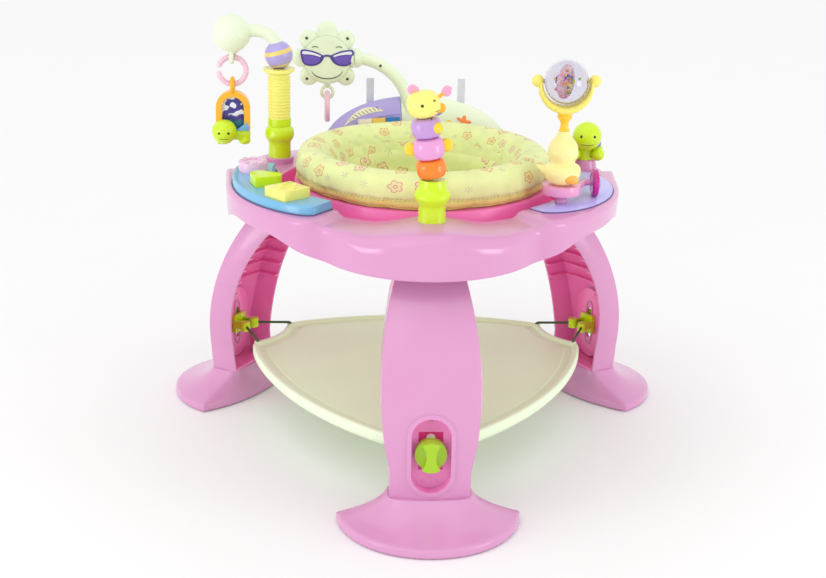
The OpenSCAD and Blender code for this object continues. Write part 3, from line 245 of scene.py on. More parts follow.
def through(points, n):
    """Smooth curve through a short list of points."""
    p = [Vector(q) for q in points]
    out = []
    for i in range(len(p) - 1):
        a, b, c, d = p[max(0, i - 1)], p[i], p[i + 1], p[min(len(p) - 1, i + 2)]
        for k in range(n):
            t = k / n
            out.append(
                (2 * b + (c - a) * t + (2 * a - 5 * b + 4 * c - d) * t * t + (3 * b - a - 3 * c + d) * t**3) / 2
            )
    out.append(p[-1])
    return out


def turned(shares, r, h, place=None, steps=56):
    profile = [(q.x * r, q.y * h) for q in through([(*s, 0) for s in shares], 5)]
    return lathe(profile, steps, place)


def tube(points, radius, sides=14, closed=False):
    """Skin round a path, with its rings carried along without twist."""
    pts = [Vector(p) for p in points]
    n = len(pts)
    rings, side = [], None
    for i, p in enumerate(pts):
        before = pts[i - 1] if i or closed else p
        after = pts[(i + 1) % n] if i < n - 1 or closed else p
        along = (after - before).normalized()
        if side is None:
            side = along.orthogonal().normalized()
        side = (side - along * side.dot(along)).normalized()
        up = along.cross(side)
        r = radius[i] if isinstance(radius, (list, tuple)) else radius
        rings.append([tuple(p + r * (cos(t) * side + sin(t) * up)) for t in turns(sides)])
    if closed:
        first, last = Vector(rings[0][0]) - pts[0], rings[-1]
        shift = min(range(sides), key=lambda k: -(Vector(last[k]) - pts[-1]).dot(first))
        if shift:
            # Share the leftover twist over the whole loop
            for i in range(n):
                twist = -2 * pi * shift / sides * i / (n - 1)
                axis = (pts[(i + 1) % n] - pts[i - 1]).normalized()
                spin = Matrix.Rotation(twist, 3, axis)
                rings[i] = [tuple(pts[i] + spin @ (Vector(q) - pts[i])) for q in rings[i]]
    return loft(rings, closed=closed)


def ball(centre, radii, steps=40, rows=24, bend=None):
    """Egg or ball with closed poles; bend may move each unit direction's point."""
    verts, faces = [], []
    for i in range(rows + 1):
        v = pi * i / rows
        for u in turns(steps):
            d = Vector((sin(v) * cos(u), sin(v) * sin(u), cos(v)))
            p = Vector((d.x * radii[0], d.y * radii[1], d.z * radii[2]))
            if bend:
                p = bend(d, p)
            verts.append(tuple(Vector(centre) + p))
    for i in range(rows):
        for k in range(steps):
            j = (k + 1) % steps
            faces.append((i * steps + k, (i + 1) * steps + k, (i + 1) * steps + j, i * steps + j))
    return verts, faces


def joined(*shapes):
    verts, faces = [], []
    for v, f in shapes:
        o = len(verts)
        verts += list(v)
        faces += [tuple(i + o for i in q) for q in f]
    return verts, faces


def plate(outline, thick, dome=0.0, place=None, soft=0.6, rows=4):
    """Flat or slightly domed plate with rounded edges, from a plan outline."""
    pts = [Vector((x, y)) for x, y in outline]
    mid = sum(pts, Vector((0, 0))) / len(pts)
    rings = []

    def ring(share, inset, z):
        out = []
        for p in pts:
            d = p - mid
            length = max(d.length, 1e-6)
            q = mid + d * (share * max(0.0, length - inset) / length)
            out.append((q.x, q.y, z))
        rings.append(out)

    ring(0.0, 0, 0)
    ring(1, soft, 0)
    ring(1, soft * 0.3, soft * 0.3)
    ring(1, 0, soft)
    ring(1, 0, thick - soft)
    ring(1, soft * 0.3, thick - soft * 0.3)
    ring(1, soft, thick)
    for k in range(1, rows + 1):
        s = 1 - k / rows
        ring(s, soft, thick + dome * (1 - s * s))
    verts, faces = loft(rings, cap=False)
    return moved(verts, place), faces


def circle(r, n):
    return [(r * cos(t), r * sin(t)) for t in turns(n)]


def turns(n):
    """Even angles round a circle."""
    return [2 * pi * k / n for k in range(n)]


def signed(x, power):
    """Power that keeps the sign."""
    return copysign(abs(x) ** power, x)


def unwrapped(a, first):
    """Angle moved by a whole turn if it lies more than half a turn from the first."""
    return a - 2 * pi if a - first > pi else a + 2 * pi if a - first < -pi else a


def way(a, z=0.0):
    """Direction along the bearing a, with a share upwards."""
    return Vector((cos(radians(a)), sin(radians(a)), z))


def by(x, y, z):
    return Matrix.Translation((x, y, z))


def about(a):
    """Place on the bearing a round the seat axis, with X along the radius."""
    return by(0, AXIS_Y, 0) @ Matrix.Rotation(radians(a), 4, "Z")


def spot(x, y, z=0.0):
    return by(x, y + AXIS_Y, z)


def turn(deg, axis):
    return Matrix.Rotation(radians(deg), 4, axis)


def piece(obj, body, slot, *nodes):
    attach(obj, body)
    if nodes:
        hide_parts(*nodes)
    return obj


def add(name, shape, mat, sharp, body, slot, *nodes):
    """Piece made of points and faces."""
    return piece(make(name, *shape, mat, sharp=sharp), body, slot, *nodes)


def modify(obj, name, kind, **settings):
    mod = obj.modifiers.new(name, kind)
    for key, value in settings.items():
        setattr(mod, key, value)
    return mod


def settle(obj):
    """Turns an object with modifiers into a plain mesh."""
    deps = bpy.context.evaluated_depsgraph_get()
    mesh = bpy.data.meshes.new_from_object(obj.evaluated_get(deps), depsgraph=deps)
    obj.modifiers.clear()
    old = obj.data
    obj.data = mesh
    bpy.data.meshes.remove(old)
    mesh.name = obj.name
    return obj


# Nodes


class Field:
    """Value in a node tree; arithmetic on it adds nodes to that tree."""

    def __init__(self, tree, socket):
        self.tree, self.socket = tree, socket

    def op(self, kind, other=None, clamp=False):
        given = {0: self} if other is None else {0: self, 1: other}
        made = node(self.tree, "ShaderNodeMath", given, operation=kind, use_clamp=clamp)
        return Field(self.tree, made.outputs[0])

    def under(self, kind, number):
        made = node(self.tree, "ShaderNodeMath", {0: number, 1: self}, operation=kind)
        return Field(self.tree, made.outputs[0])

    def __add__(self, other):
        return self.op("ADD", other)

    def __sub__(self, other):
        return self.op("SUBTRACT", other)

    def __rsub__(self, number):
        return self.under("SUBTRACT", number)

    def __mul__(self, other):
        return self.op("MULTIPLY", other)

    def __rtruediv__(self, number):
        return self.under("DIVIDE", number)

    def __lt__(self, other):
        return self.op("LESS_THAN", other)

    def __gt__(self, other):
        return self.op("GREATER_THAN", other)

    def __abs__(self):
        return self.op("ABSOLUTE")

    def max(self, other):
        return self.op("MAXIMUM", other)

    def sine(self):
        return self.op("SINE")

    def ramp(self, low, high, out_low=0.0, out_high=1.0):
        """Smooth step from one value to another between two limits."""
        limits = {"Value": self, "From Min": low, "From Max": high, "To Min": out_low, "To Max": out_high}
        made = node(self.tree, "ShaderNodeMapRange", limits, interpolation_type="SMOOTHSTEP")
        return Field(self.tree, made.outputs["Result"])

    def mix(self, low, high):
        """Colour between two others, with this value as the share of the second."""
        return node(self.tree, "ShaderNodeMix", {0: self, 6: low, 7: high}, data_type="RGBA").outputs[2]


def fill(tree, made, inputs):
    """Sets a node's inputs: a socket, or a node's first output, is linked and anything else is stored."""
    for key, value in inputs.items():
        if isinstance(value, bpy.types.Node):
            value = value.outputs[0]
        if isinstance(value, Field):
            value = value.socket
        if isinstance(value, bpy.types.NodeSocket):
            tree.links.new(value, made.inputs[key])
        else:
            made.inputs[key].default_value = value
    return made


def node(tree, kind, inputs=None, **settings):
    made = tree.nodes.new(kind)
    for key, value in settings.items():
        setattr(made, key, value)
    return fill(tree, made, inputs or {})


def new_group(name, kind, inputs, outputs):
    """Node group with inputs as (label, type, default) and outputs as (label, type)."""
    group = bpy.data.node_groups.new(name, kind)
    for label, short, value in inputs:
        item = group.interface.new_socket(label, in_out="INPUT", socket_type=f"NodeSocket{short}")
        if value is not None:
            item.default_value = value
    for label, short in outputs:
        group.interface.new_socket(label, in_out="OUTPUT", socket_type=f"NodeSocket{short}")
    return group, group.nodes.new("NodeGroupInput").outputs, group.nodes.new("NodeGroupOutput")


# Geometry Nodes


def tree_with(name, *inputs):
    inputs = [("Geometry", "Geometry", None), *inputs]
    return new_group(name, "GeometryNodeTree", inputs, [("Geometry", "Geometry")])


def set_inputs(mod, values):
    for item in mod.node_group.interface.items_tree:
        if item.item_type == "SOCKET" and item.in_out == "INPUT" and item.name in values:
            mod[item.identifier] = values[item.name]


def run_tree(obj, tree, values):
    """Adds the tree as a modifier with its inputs set, then makes the result a plain mesh."""
    set_inputs(modify(obj, tree.name, "NODES", node_group=tree), values)
    return settle(obj)


def finish_tail(tree, source, given, out):
    """Realize Instances, smooth shading and Set Material end every tree of instances."""
    real = node(tree, "GeometryNodeRealizeInstances", {"Geometry": source})
    soft = node(tree, "GeometryNodeSetShadeSmooth", {"Geometry": real})
    mat = node(tree, "GeometryNodeSetMaterial", {"Geometry": soft, "Material": given["Material"]})
    fill(tree, out, {"Geometry": mat})
    return tree


def even_line(tree, given):
    """The incoming path as a curve with points at even steps."""
    curve = node(tree, "GeometryNodeMeshToCurve", {"Mesh": given["Geometry"]})
    return node(tree, "GeometryNodeResampleCurve", {"Curve": curve, "Length": given["Step"]}, mode="LENGTH")


def facing(tree):
    made = node(tree, "GeometryNodeInputNamedAttribute", data_type="FLOAT_VECTOR")
    return fill(tree, made, {"Name": "facing"}).outputs["Attribute"]


@cache
def stitch_tree():
    """Sewn stitches at even steps along a path, lying on the surface under it."""
    size = ("Size", "Vector", (0.002, 0.0005, 0.0004))
    tree, given, out = tree_with("Stitches along a path", ("Step", "Float", 0.006), size, MATERIAL_INPUT)
    item = node(tree, "GeometryNodeMeshUVSphere", {"Segments": 6, "Rings": 5, "Radius": 1.0})
    sized = node(tree, "GeometryNodeTransform", {"Geometry": item, "Scale": given["Size"]})
    along = node(tree, "GeometryNodeInputTangent")
    first = node(tree, "FunctionNodeAlignRotationToVector", {"Vector": along}, axis="X")
    lie = {"Rotation": first, "Vector": facing(tree)}
    second = node(tree, "FunctionNodeAlignRotationToVector", lie, axis="Z", pivot_axis="X")
    spread = {"Points": even_line(tree, given), "Instance": sized, "Rotation": second}
    return finish_tail(tree, node(tree, "GeometryNodeInstanceOnPoints", spread), given, out)


@cache
def ridge_tree():
    """Ring ridges standing at even steps along a wire."""
    tree, given, out = tree_with(
        "Ridges along a wire",
        ("Step", "Float", 0.004),
        ("Wire", "Float", 0.0045),
        ("Ridge", "Float", 0.0007),
        MATERIAL_INPUT,
    )
    big = node(tree, "GeometryNodeCurvePrimitiveCircle", {"Resolution": 12, "Radius": given["Wire"]})
    small = node(tree, "GeometryNodeCurvePrimitiveCircle", {"Resolution": 5, "Radius": given["Ridge"]})
    ring = node(tree, "GeometryNodeCurveToMesh", {"Curve": big, "Profile Curve": small})
    along = node(tree, "GeometryNodeInputTangent")
    lie = node(tree, "FunctionNodeAlignRotationToVector", {"Vector": along}, axis="Z")
    spread = {"Points": even_line(tree, given), "Instance": ring, "Rotation": lie}
    return finish_tail(tree, node(tree, "GeometryNodeInstanceOnPoints", spread), given, out)


@cache
def dot_tree():
    """Small domed discs at given points, each facing its own way: screws, pips and perforations."""
    tree, given, out = tree_with(
        "Discs at points", ("Radius", "Float", 0.0024), ("Height", "Float", 0.0006), MATERIAL_INPUT
    )
    item = node(tree, "GeometryNodeMeshUVSphere", {"Segments": 12, "Rings": 6, "Radius": 1.0})
    pack = node(tree, "ShaderNodeCombineXYZ", {"X": given["Radius"], "Y": given["Radius"], "Z": given["Height"]})
    sized = node(tree, "GeometryNodeTransform", {"Geometry": item, "Scale": pack})
    lie = node(tree, "FunctionNodeAlignRotationToVector", {"Vector": facing(tree)}, axis="Z")
    points = node(tree, "GeometryNodeMeshToPoints", {"Mesh": given["Geometry"]})
    spread = {"Points": points, "Instance": sized, "Rotation": lie}
    return finish_tail(tree, node(tree, "GeometryNodeInstanceOnPoints", spread), given, out)


@cache
def bead_tree():
    """Loose beads scattered through a ball: points on its surface drawn in by a random share."""
    tree, given, out = tree_with(
        "Beads in a ball",
        ("Density", "Float", 6000.0),
        ("Bead", "Float", 0.002),
        ("Centre", "Vector", (0, 0, 0)),
        ("Seed", "Int", 3),
        MATERIAL_INPUT,
    )
    over = {"Mesh": given["Geometry"], "Density": given["Density"], "Seed": given["Seed"]}
    points = node(tree, "GeometryNodeDistributePointsOnFaces", over)
    share = node(tree, "FunctionNodeRandomValue", {2: 0.35, 3: 1.0, "Seed": given["Seed"]}, data_type="FLOAT")
    place = node(tree, "GeometryNodeInputPosition")
    drawn = {0: share.outputs[1], 4: given["Centre"], 5: place}
    drawn = node(tree, "ShaderNodeMix", drawn, data_type="VECTOR").outputs[1]
    put = node(tree, "GeometryNodeSetPosition", {"Geometry": points, "Position": drawn})
    item = node(tree, "GeometryNodeMeshUVSphere", {"Segments": 8, "Rings": 6, "Radius": given["Bead"]})
    beads = node(tree, "GeometryNodeInstanceOnPoints", {"Points": put, "Instance": item})
    return finish_tail(tree, beads, given, out)


@cache
def edge_tree():
    """Joins the loose triangles of a solid and keeps only its real edges sharp."""
    tree, given, out = tree_with("Joined with sharp edges", ("Angle", "Float", radians(28)))
    plain = node(tree, "GeometryNodeRemoveAttribute", {"Geometry": given["Geometry"], "Name": "custom_normal"})
    weld = node(tree, "GeometryNodeMergeByDistance", {"Geometry": plain, "Distance": WELD})
    whole = node(tree, "GeometryNodeSetShadeSmooth", {"Geometry": weld}, domain="FACE")
    bend = node(tree, "GeometryNodeInputMeshEdgeAngle").outputs["Unsigned Angle"]
    sharp = {0: bend, 1: given["Angle"]}
    sharp = node(tree, "FunctionNodeCompare", sharp, data_type="FLOAT", operation="GREATER_THAN")
    last = {"Geometry": whole, "Selection": sharp, "Shade Smooth": False}
    fill(tree, out, {"Geometry": node(tree, "GeometryNodeSetShadeSmooth", last, domain="EDGE")})
    return tree


def path_object(name, paths, facings=None):
    """Edges-only mesh of one or more (points, closed) paths in millimetres, each point with the way it faces."""
    verts, edges = [], []
    for points, closed in paths:
        o = len(verts)
        verts += [tuple(c * MM for c in p) for p in points]
        edges += [(o + i, o + i + 1) for i in range(len(points) - 1)]
        if closed:
            edges.append((o + len(points) - 1, o))
    mesh = bpy.data.meshes.new(name)
    mesh.from_pydata(verts, edges, [])
    if facings is not None:
        layer = mesh.attributes.new("facing", "FLOAT_VECTOR", "POINT")
        layer.data.foreach_set("vector", [c for f in facings for c in Vector(f).normalized()])
    return linked(name, mesh)


def dots(name, spots, radius, height, mat):
    """Discs at (point, facing) pairs, points in millimetres."""
    obj = path_object(name, [([p for p, _ in spots], False)], [f for _, f in spots])
    return run_tree(obj, dot_tree(), {"Radius": radius, "Height": height, "Material": mat})


def stitches(name, paths, facings, mat):
    s = sizes()
    obj = path_object(name, paths, facings)
    size = (s.stitch / 2, 0.0006, 0.00045)
    return run_tree(obj, stitch_tree(), {"Step": s.stitch_step, "Size": size, "Material": mat})


def dress(name, mat, bevel=None, angle=28.0, segments=2):
    """Gives a CAD node its material, soft edges and smooth shading, leaving its mesh as it is."""
    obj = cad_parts[name]
    obj.data.materials.clear()
    obj.data.materials.append(mat)
    modify(obj, "Join", "WELD", merge_threshold=WELD)
    width = sizes().edge if bevel is None else bevel
    if width > 0:
        soft = modify(obj, "Soft edges", "BEVEL", width=width, segments=segments, limit_method="ANGLE")
        soft.angle_limit = radians(38)
        soft.use_clamp_overlap = True
    set_inputs(modify(obj, "Edges", "NODES", node_group=edge_tree()), {"Angle": radians(angle)})


# Shader groups


def split(t, vector):
    return [Field(t, s) for s in node(t, "ShaderNodeSeparateXYZ", {"Vector": vector}).outputs]


def noise(t, vector, scale, detail=2.0, rough=0.5):
    made = {"Vector": vector, "Scale": scale, "Detail": detail, "Roughness": rough}
    return Field(t, node(t, "ShaderNodeTexNoise", made).outputs["Fac"])


def shader_group(name, inputs, outputs):
    return new_group(name, "ShaderNodeTree", [("Vector", "Vector", (0, 0, 0)), *inputs], outputs)


def use(t, group, inputs):
    """A shader group's outputs, with its inputs set."""
    return node(t, "ShaderNodeGroup", inputs, node_tree=group).outputs


@cache
def moulded_group():
    """Moulded plastic: slow flow marks in the colour, a fine sandblast grain and handling haze."""
    group, given, out = shader_group(
        "Moulded plastic",
        [("Colour", "Color", (0.8, 0.5, 0.7, 1)), ("Gloss", "Float", 0.3), ("Flow", "Float", 0.05)],
        [("Colour", "Color"), ("Roughness", "Float"), ("Height", "Float")],
    )
    vector = given["Vector"]
    tint = (noise(group, vector, 11.0, 3.0) - 0.5) * given["Flow"]
    toned = {"Color": given["Colour"], "Value": tint + 1.0, "Saturation": 1.0 - tint}
    toned = node(group, "ShaderNodeHueSaturation", toned)
    haze = (noise(group, vector, 38.0, 4.0, 0.6) - 0.5) * 0.12
    rough = haze.op("ADD", given["Gloss"], True)
    fill(group, out, {"Colour": toned, "Roughness": rough, "Height": noise(group, vector, 1500.0, 1.0)})
    return group


@cache
def weave_group():
    """Plain weave of fine yarns, with slubs, from a map in metres."""
    group, given, out = shader_group(
        "Plain weave", [("Pitch", "Float", 0.0011)], [("Height", "Float"), ("Shade", "Float")]
    )
    vector = given["Vector"]
    x, y, _ = split(group, vector)
    pace = 2 * pi / Field(group, given["Pitch"])
    yarn = (x * pace).sine() * (y * pace).sine()
    height = yarn * 0.35 + noise(group, vector, 420.0, 3.0)
    shade = noise(group, vector, 26.0, 3.0).ramp(0.3, 0.7, 0.94, 1.05)
    fill(group, out, {"Height": height, "Shade": shade})
    return group


@cache
def print_group():
    """Scattered line-drawn blossoms and small stars, one for each cell of a loose grid."""
    group, given, out = shader_group(
        "Blossom print",
        [("Spacing", "Float", 0.042), ("Ground", "Color", (0.7, 0.8, 0.3, 1))],
        [("Colour", "Color")],
    )
    spread = node(group, "ShaderNodeVectorMath", operation="DIVIDE")
    fill(group, spread, {0: given["Vector"], 1: given["Spacing"]})
    cells = {"Vector": spread, "Scale": 1.0, "Randomness": 0.62}
    cells = node(group, "ShaderNodeTexVoronoi", cells, voronoi_dimensions="2D").outputs
    local = node(group, "ShaderNodeVectorMath", {0: spread, 1: cells["Position"]}, operation="SUBTRACT")
    x, y, _ = split(group, local)
    pick = node(group, "ShaderNodeSeparateColor", {"Color": cells["Color"]}).outputs
    chance, spin, hue = (Field(group, s) for s in pick)
    angle = y.op("ARCTAN2", x) + spin * 6.28
    away = (abs(x).op("POWER", 2.0) + abs(y).op("POWER", 2.0)).op("SQRT")
    reach = abs((angle * 2.5).op("COSINE")) * 0.11 + 0.2
    edge = abs(away - reach).ramp(0.012, 0.03, 1.0, 0.0)
    heart = abs(away - 0.075).ramp(0.012, 0.028, 1.0, 0.0)
    blossom = edge.max(heart).max((away - reach).ramp(-0.02, 0.0, 0.16, 0.0))
    ray = (abs((angle * 3.0).sine()) * away).ramp(0.012, 0.03, 1.0, 0.0)
    star = ray * away.ramp(0.17, 0.2, 1.0, 0.0) * away.ramp(0.03, 0.05)
    warm = (hue > 0.5).mix(srgb(232, 132, 96), srgb(226, 120, 150))
    cool = (hue > 0.45).mix(srgb(126, 108, 164), srgb(172, 140, 184))
    ground = (blossom * (chance > 0.52)).mix(given["Ground"], warm)
    fill(group, out, {"Colour": (star * (chance < 0.36)).mix(ground, cool)})
    return group


@cache
def channel_group():
    """Shares of a leg's surface in its channel, knob pocket and clip slot, in the leg's own frame in metres."""
    group, given, out = shader_group(
        "Leg channel", [], [("Inside", "Float"), ("Pocket", "Float"), ("Slot", "Float")]
    )
    x, y, z = split(group, given["Vector"])
    side = abs(y)
    skin = 0.0018

    def length(a, b):
        return (a * a + b * b).op("SQRT")

    shell = length(length(x - 0.158, y) + 0.14, z - 0.1)
    rise = z - 0.195
    flank = ((0.470 * 0.470 - rise * rise).op("SQRT") - 0.403).max(0.0545)
    oval = length(side, (abs(z - ADJUST_Z * MM) - 0.026).max(0.0))
    cup = (oval < 0.034) * (x > 0.337)
    room = (shell < 0.340 - skin) * (side < flank - skin)
    pocket = (oval < 0.0269) * (x > 0.3385)
    tall = abs(z - (ADJUST_Z + 1.5) * MM)
    slot = (side < 0.0165) * (tall < 0.0275) * (x < 0.3408) * pocket
    fill(group, out, {"Inside": room * (1.0 - cup), "Pocket": pocket, "Slot": slot})
    return group


# Materials

MATERIALS = {}


def kept(build):
    """Makes each named material once; the name is the function's own unless another is given."""

    def once(name=build.__name__, *given, **more):
        if name not in MATERIALS:
            MATERIALS[name] = build(name, *given, **more)
        return MATERIALS[name]

    return once


def blank(name):
    mat = bpy.data.materials.new(name)
    mat.use_nodes = True
    return mat, mat.node_tree, mat.node_tree.nodes["Principled BSDF"]


def bump(t, bsdf, height, strength, distance):
    made = node(t, "ShaderNodeBump", {"Strength": strength, "Distance": distance, "Height": height})
    fill(t, bsdf, {"Normal": made})


def object_vector(t):
    return node(t, "ShaderNodeTexCoord").outputs["Object"]


@kept
def plastic(name, colour, gloss=0.3, coat=0.25, flow=0.05, pattern=None, grain=0.03):
    """Moulded plastic; pattern(t, vector, colour) may return a colour that changes over the surface."""
    mat, t, bsdf = blank(name)
    vector = object_vector(t)
    shade = pattern(t, vector, tuple(colour)) if pattern else colour
    body = use(t, moulded_group(), {"Vector": vector, "Colour": shade, "Gloss": gloss, "Flow": flow})
    fill(t, bsdf, {"Base Color": body["Colour"], "Roughness": body["Roughness"]})
    fill(t, bsdf, {"Coat Weight": coat, "Coat Roughness": 0.12})
    bump(t, bsdf, body["Height"], grain, 0.00012)
    return mat


def local_vector(t, vector, place):
    """Object coordinates carried into a piece's own frame, place being its matrix in millimetres."""
    back = place.copy()
    back.translation = back.translation * MM
    back = back.inverted()
    shift = {"Vector": vector, "Location": back.to_translation(), "Rotation": back.to_euler("XYZ")}
    return node(t, "ShaderNodeMapping", shift, vector_type="POINT").outputs["Vector"]


def leg_plastic(name, bearing):
    c = colours()

    def inside(t, vector, colour):
        marks = use(t, channel_group(), {"Vector": local_vector(t, vector, about(bearing))})
        room, pocket, slot = (Field(t, s) for s in marks)
        # Painted shade and glow: magenta inside the channel, a deeper pink in the knob pockets, and a dark magenta in
        # the clip slot, where only shade is seen.
        return room.mix(slot.mix(pocket.mix(colour, c.pocket), srgb(204, 24, 116)), c.magenta)

    return plastic(name, c.pink, 0.24, 0.4, pattern=inside)


def bands(place, low_high, other):
    """Pattern with bands of another colour between heights in the piece's own frame."""

    def paint(t, vector, colour):
        z = split(t, local_vector(t, vector, place))[2]
        total = None
        for low, high in low_high:
            m = z.ramp((low - 0.25) * MM, (low + 0.25) * MM)
            m = m * z.ramp((high - 0.25) * MM, (high + 0.25) * MM, 1.0, 0.0)
            total = m if total is None else total.max(m)
        return total.mix(colour, other)

    return paint


@kept
def print_cloth(name, hem=False):
    mat, t, bsdf = blank(name)
    uv = node(t, "ShaderNodeUVMap", uv_map="cut")
    art = {"Vector": uv, "Spacing": sizes().print_size, "Ground": colours().cloth}
    ground = use(t, print_group(), art)["Colour"]
    weave = use(t, weave_group(), {"Vector": uv})
    if hem:
        y = split(t, uv)[1]
        band = y.ramp(-0.0148, -0.0138, 1.0, 0.0) * y.ramp(-0.045, -0.040)
        ground = (band * 0.75).mix(ground, srgb(238, 228, 124))
    tone = node(t, "ShaderNodeHueSaturation", {"Color": ground, "Value": weave["Shade"]})
    fill(t, bsdf, {"Base Color": tone, "Roughness": 0.82, "Specular IOR Level": 0.3})
    fill(t, bsdf, {"Sheen Weight": 0.25, "Sheen Roughness": 0.45})
    bump(t, bsdf, weave["Height"], 0.35, 0.0004)
    return mat


@kept
def plain_cloth(name, colour, pitch=0.0012):
    mat, t, bsdf = blank(name)
    weave = use(t, weave_group(), {"Vector": object_vector(t), "Pitch": pitch})
    tone = node(t, "ShaderNodeHueSaturation", {"Color": colour, "Value": weave["Shade"]})
    fill(t, bsdf, {"Base Color": tone, "Roughness": 0.85, "Sheen Weight": 0.2})
    bump(t, bsdf, weave["Height"], 0.4, 0.0004)
    return mat


@kept
def braided_cord(name):
    """Braid that follows the cord: strands crossing on its own map, in metres."""
    cord = colours().cord
    mat, t, bsdf = blank(name)
    x, y, _ = split(t, node(t, "ShaderNodeUVMap", uv_map="cut"))
    along, around = y * (2 * pi / 0.0032), x * (2 * pi * 4)
    strand = (along + around).sine().max((along - around).sine()) * 0.5 + 0.5
    # The grooves between strands are painted darker: painted shade, over the bump of the same pattern.
    fill(t, bsdf, {"Base Color": strand.mix(shaded(cord, 0.55), cord), "Roughness": 0.75})
    bump(t, bsdf, strand, 0.8, 0.0005)
    return mat


@kept
def clear_plastic(name):
    mat, t, bsdf = blank(name)
    haze = noise(t, object_vector(t), 60.0, 4.0, 0.6)
    fill(t, bsdf, {"Base Color": srgb(240, 238, 246), "Roughness": haze.ramp(0.3, 0.8, 0.03, 0.09)})
    fill(t, bsdf, {"Transmission Weight": 1.0, "IOR": 1.12, "Coat Weight": 0.6, "Coat Roughness": 0.04})
    return mat


@kept
def screw_steel(name):
    mat, t, bsdf = blank(name)
    brushed = noise(t, object_vector(t), 800.0, 2.0).ramp(0.2, 0.8, 0.28, 0.45)
    fill(t, bsdf, {"Base Color": srgb(190, 192, 196), "Metallic": 1.0, "Roughness": brushed})
    return mat


@kept
def mottled(name, grain, low, high, rough, relief=None, more=None):
    """Two close tones broken up by a fine noise; rough is one value or the two that the noise moves between."""
    mat, t, bsdf = blank(name)
    fine = noise(t, object_vector(t), *grain)
    rough = fine.ramp(0.2, 0.8, *rough) if isinstance(rough, tuple) else rough
    fill(t, bsdf, {"Base Color": fine.mix(srgb(*low), srgb(*high)), "Roughness": rough, **(more or {})})
    if relief:
        bump(t, bsdf, fine, *relief)
    return mat


def frosted_plastic():
    clear = {"Transmission Weight": 0.35, "IOR": 1.2}
    return mottled("frosted_plastic", (45.0, 3.0), (226, 226, 234), (240, 240, 246), (0.34, 0.5), more=clear)


# Painted shade: dark discs standing for the shade in screw holes, speaker holes and small pits.
def dark_recess():
    return mottled("dark_recess", (900.0, 2.0), (52, 58, 44), (78, 84, 66), 0.5, (0.2, 0.0002))


def grip_rubber():
    return mottled("grip_rubber", (700.0, 3.0), (70, 72, 76), (96, 98, 102), 0.8, (0.5, 0.0003))


def ink(name="line_print", rgb=(70, 66, 60)):
    """Thin line with an uneven tone: printed lines, and the painted shadow in the gaps round the inlays."""
    return mottled(name, (300.0, 3.0), rgb, [min(255, v + 22) for v in rgb], (0.35, 0.5))


def eye_print():
    return ink("eye_print", (30, 34, 30))


# Gloss and coat of the part's own colours
FINISHES = {
    "pink": (0.24, 0.4),
    "magenta": (0.34, 0.2),
    "lime": (0.26, 0.35),
    "yellow": (0.3, 0.25),
    "gold": (0.28, 0.3),
    "pale_green": (0.34, 0.2),
    "lavender": (0.32, 0.25),
    "purple": (0.26, 0.35),
    "blue": (0.3, 0.3),
}


def tinted(key, name=None):
    return plastic(name or f"{key}_plastic", getattr(colours(), key), *FINISHES[key])


def cream():
    return plastic("cream_plastic", colours().cream, 0.42, 0.1, grain=0.1)


# Rules of the tray, feet and panel, as in the part's source


def apart(a, b):
    return abs((a - b + 900) % 360 - 180)


def soft_step(x):
    t = max(0.0, min(1.0, x))
    return t * t * (3 - 2 * t)


def off_leg(a):
    return min(apart(a, leg) for leg in LEGS)


def tray_reach(a):
    d = radians(off_leg(a))
    lobe = TRAY_LOBE_X * cos(d) + sqrt(max(0.0, TRAY_LOBE_R**2 - (TRAY_LOBE_X * sin(d)) ** 2))
    full = max(soft_step((28 + 14 - apart(a, s)) / 14) for s in (202, -22, 90))
    station = STATION_R - 20 * (1 - full)
    return (lobe**40 + station**40) ** (1 / 40)


def on_station(a):
    return max(soft_step((32 + 4 - apart(a, s)) / 4) for s in (202, -22))


def tray_height(a):
    return TRAY_TOP + 8 * on_station(a) + 13 * soft_step(1 - apart(a, -90) / 22)


def skirt_height(a):
    return TRAY_LOW + 27 * soft_step((off_leg(a) - 26) / 26)


def tray_edge(a):
    return 7 + 15 * (1 - on_station(a)) * soft_step(1 - (off_leg(a) - 16) / 14)


def tray_section(a):
    """Closed section of the tray at a bearing, as (radius, height, inside of the well)."""
    r, t, b, e = tray_reach(a), tray_height(a), skirt_height(a), tray_edge(a)
    w, well = TRAY_WALL, WELL_R
    crown = 2.2 * (1 - on_station(a)) * soft_step((34 - off_leg(a)) / 16)
    pts = [(LIP_R, LIP_Z, 1), (well + w, LIP_Z, 0), (well + w, t - w, 0), (r - e, t - w, 0)]
    q = e - w
    for k in range(1, 6):
        f = radians(90 - 18 * k)
        pts.append((r - e + q * cos(f), t - e + q * sin(f), 0))
    pts.append((r - 2 - w, b + 1.2, 0))
    for k in range(5):
        f = radians(180 + 45 * k)
        pts.append((r - 2 - w / 2 + w / 2 * cos(f), b + w / 2 + w / 2 * sin(f), 0))
    for k in range(5):
        s = (k + 1) / 6
        pts.append((r - 2 + 2 * s, b + 2 + (t - e - b - 2) * s, 0))
    for k in range(9):
        f = radians(90 * k / 8)
        pts.append((r - e + e * cos(f), t - e + e * sin(f), 0))
    for k in range(1, 8):
        s = k / 8
        pts.append((r - e + (well + w - r + e) * s, t + crown * sin(pi * s), 0))
    for k in range(5):
        f = radians(90 + 22.5 * k)
        pts.append((well + w + w * cos(f), t - w + w * sin(f), 1 if k > 1 else 0))
    pts.append((well, LIP_Z + w + 3, 1))
    pts.append((well - 3, LIP_Z + w, 1))
    pts.append((LIP_R, LIP_Z + w, 1))
    return pts


def ring_grid(section, steps):
    """Skin of a section that changes with the bearing, with the material of each of its strips."""
    rings = []
    for i in range(steps):
        a = 360 * i / steps
        c, s = cos(radians(a)), sin(radians(a))
        rings.append([(p[0] * c, p[0] * s + AXIS_Y, p[1]) for p in section(a)])
    verts, faces = loft(rings, closed=True)
    strip = [p[2] for p in section(0)]
    return verts, faces, [strip[j] for _ in range(steps) for j in range(len(strip))]


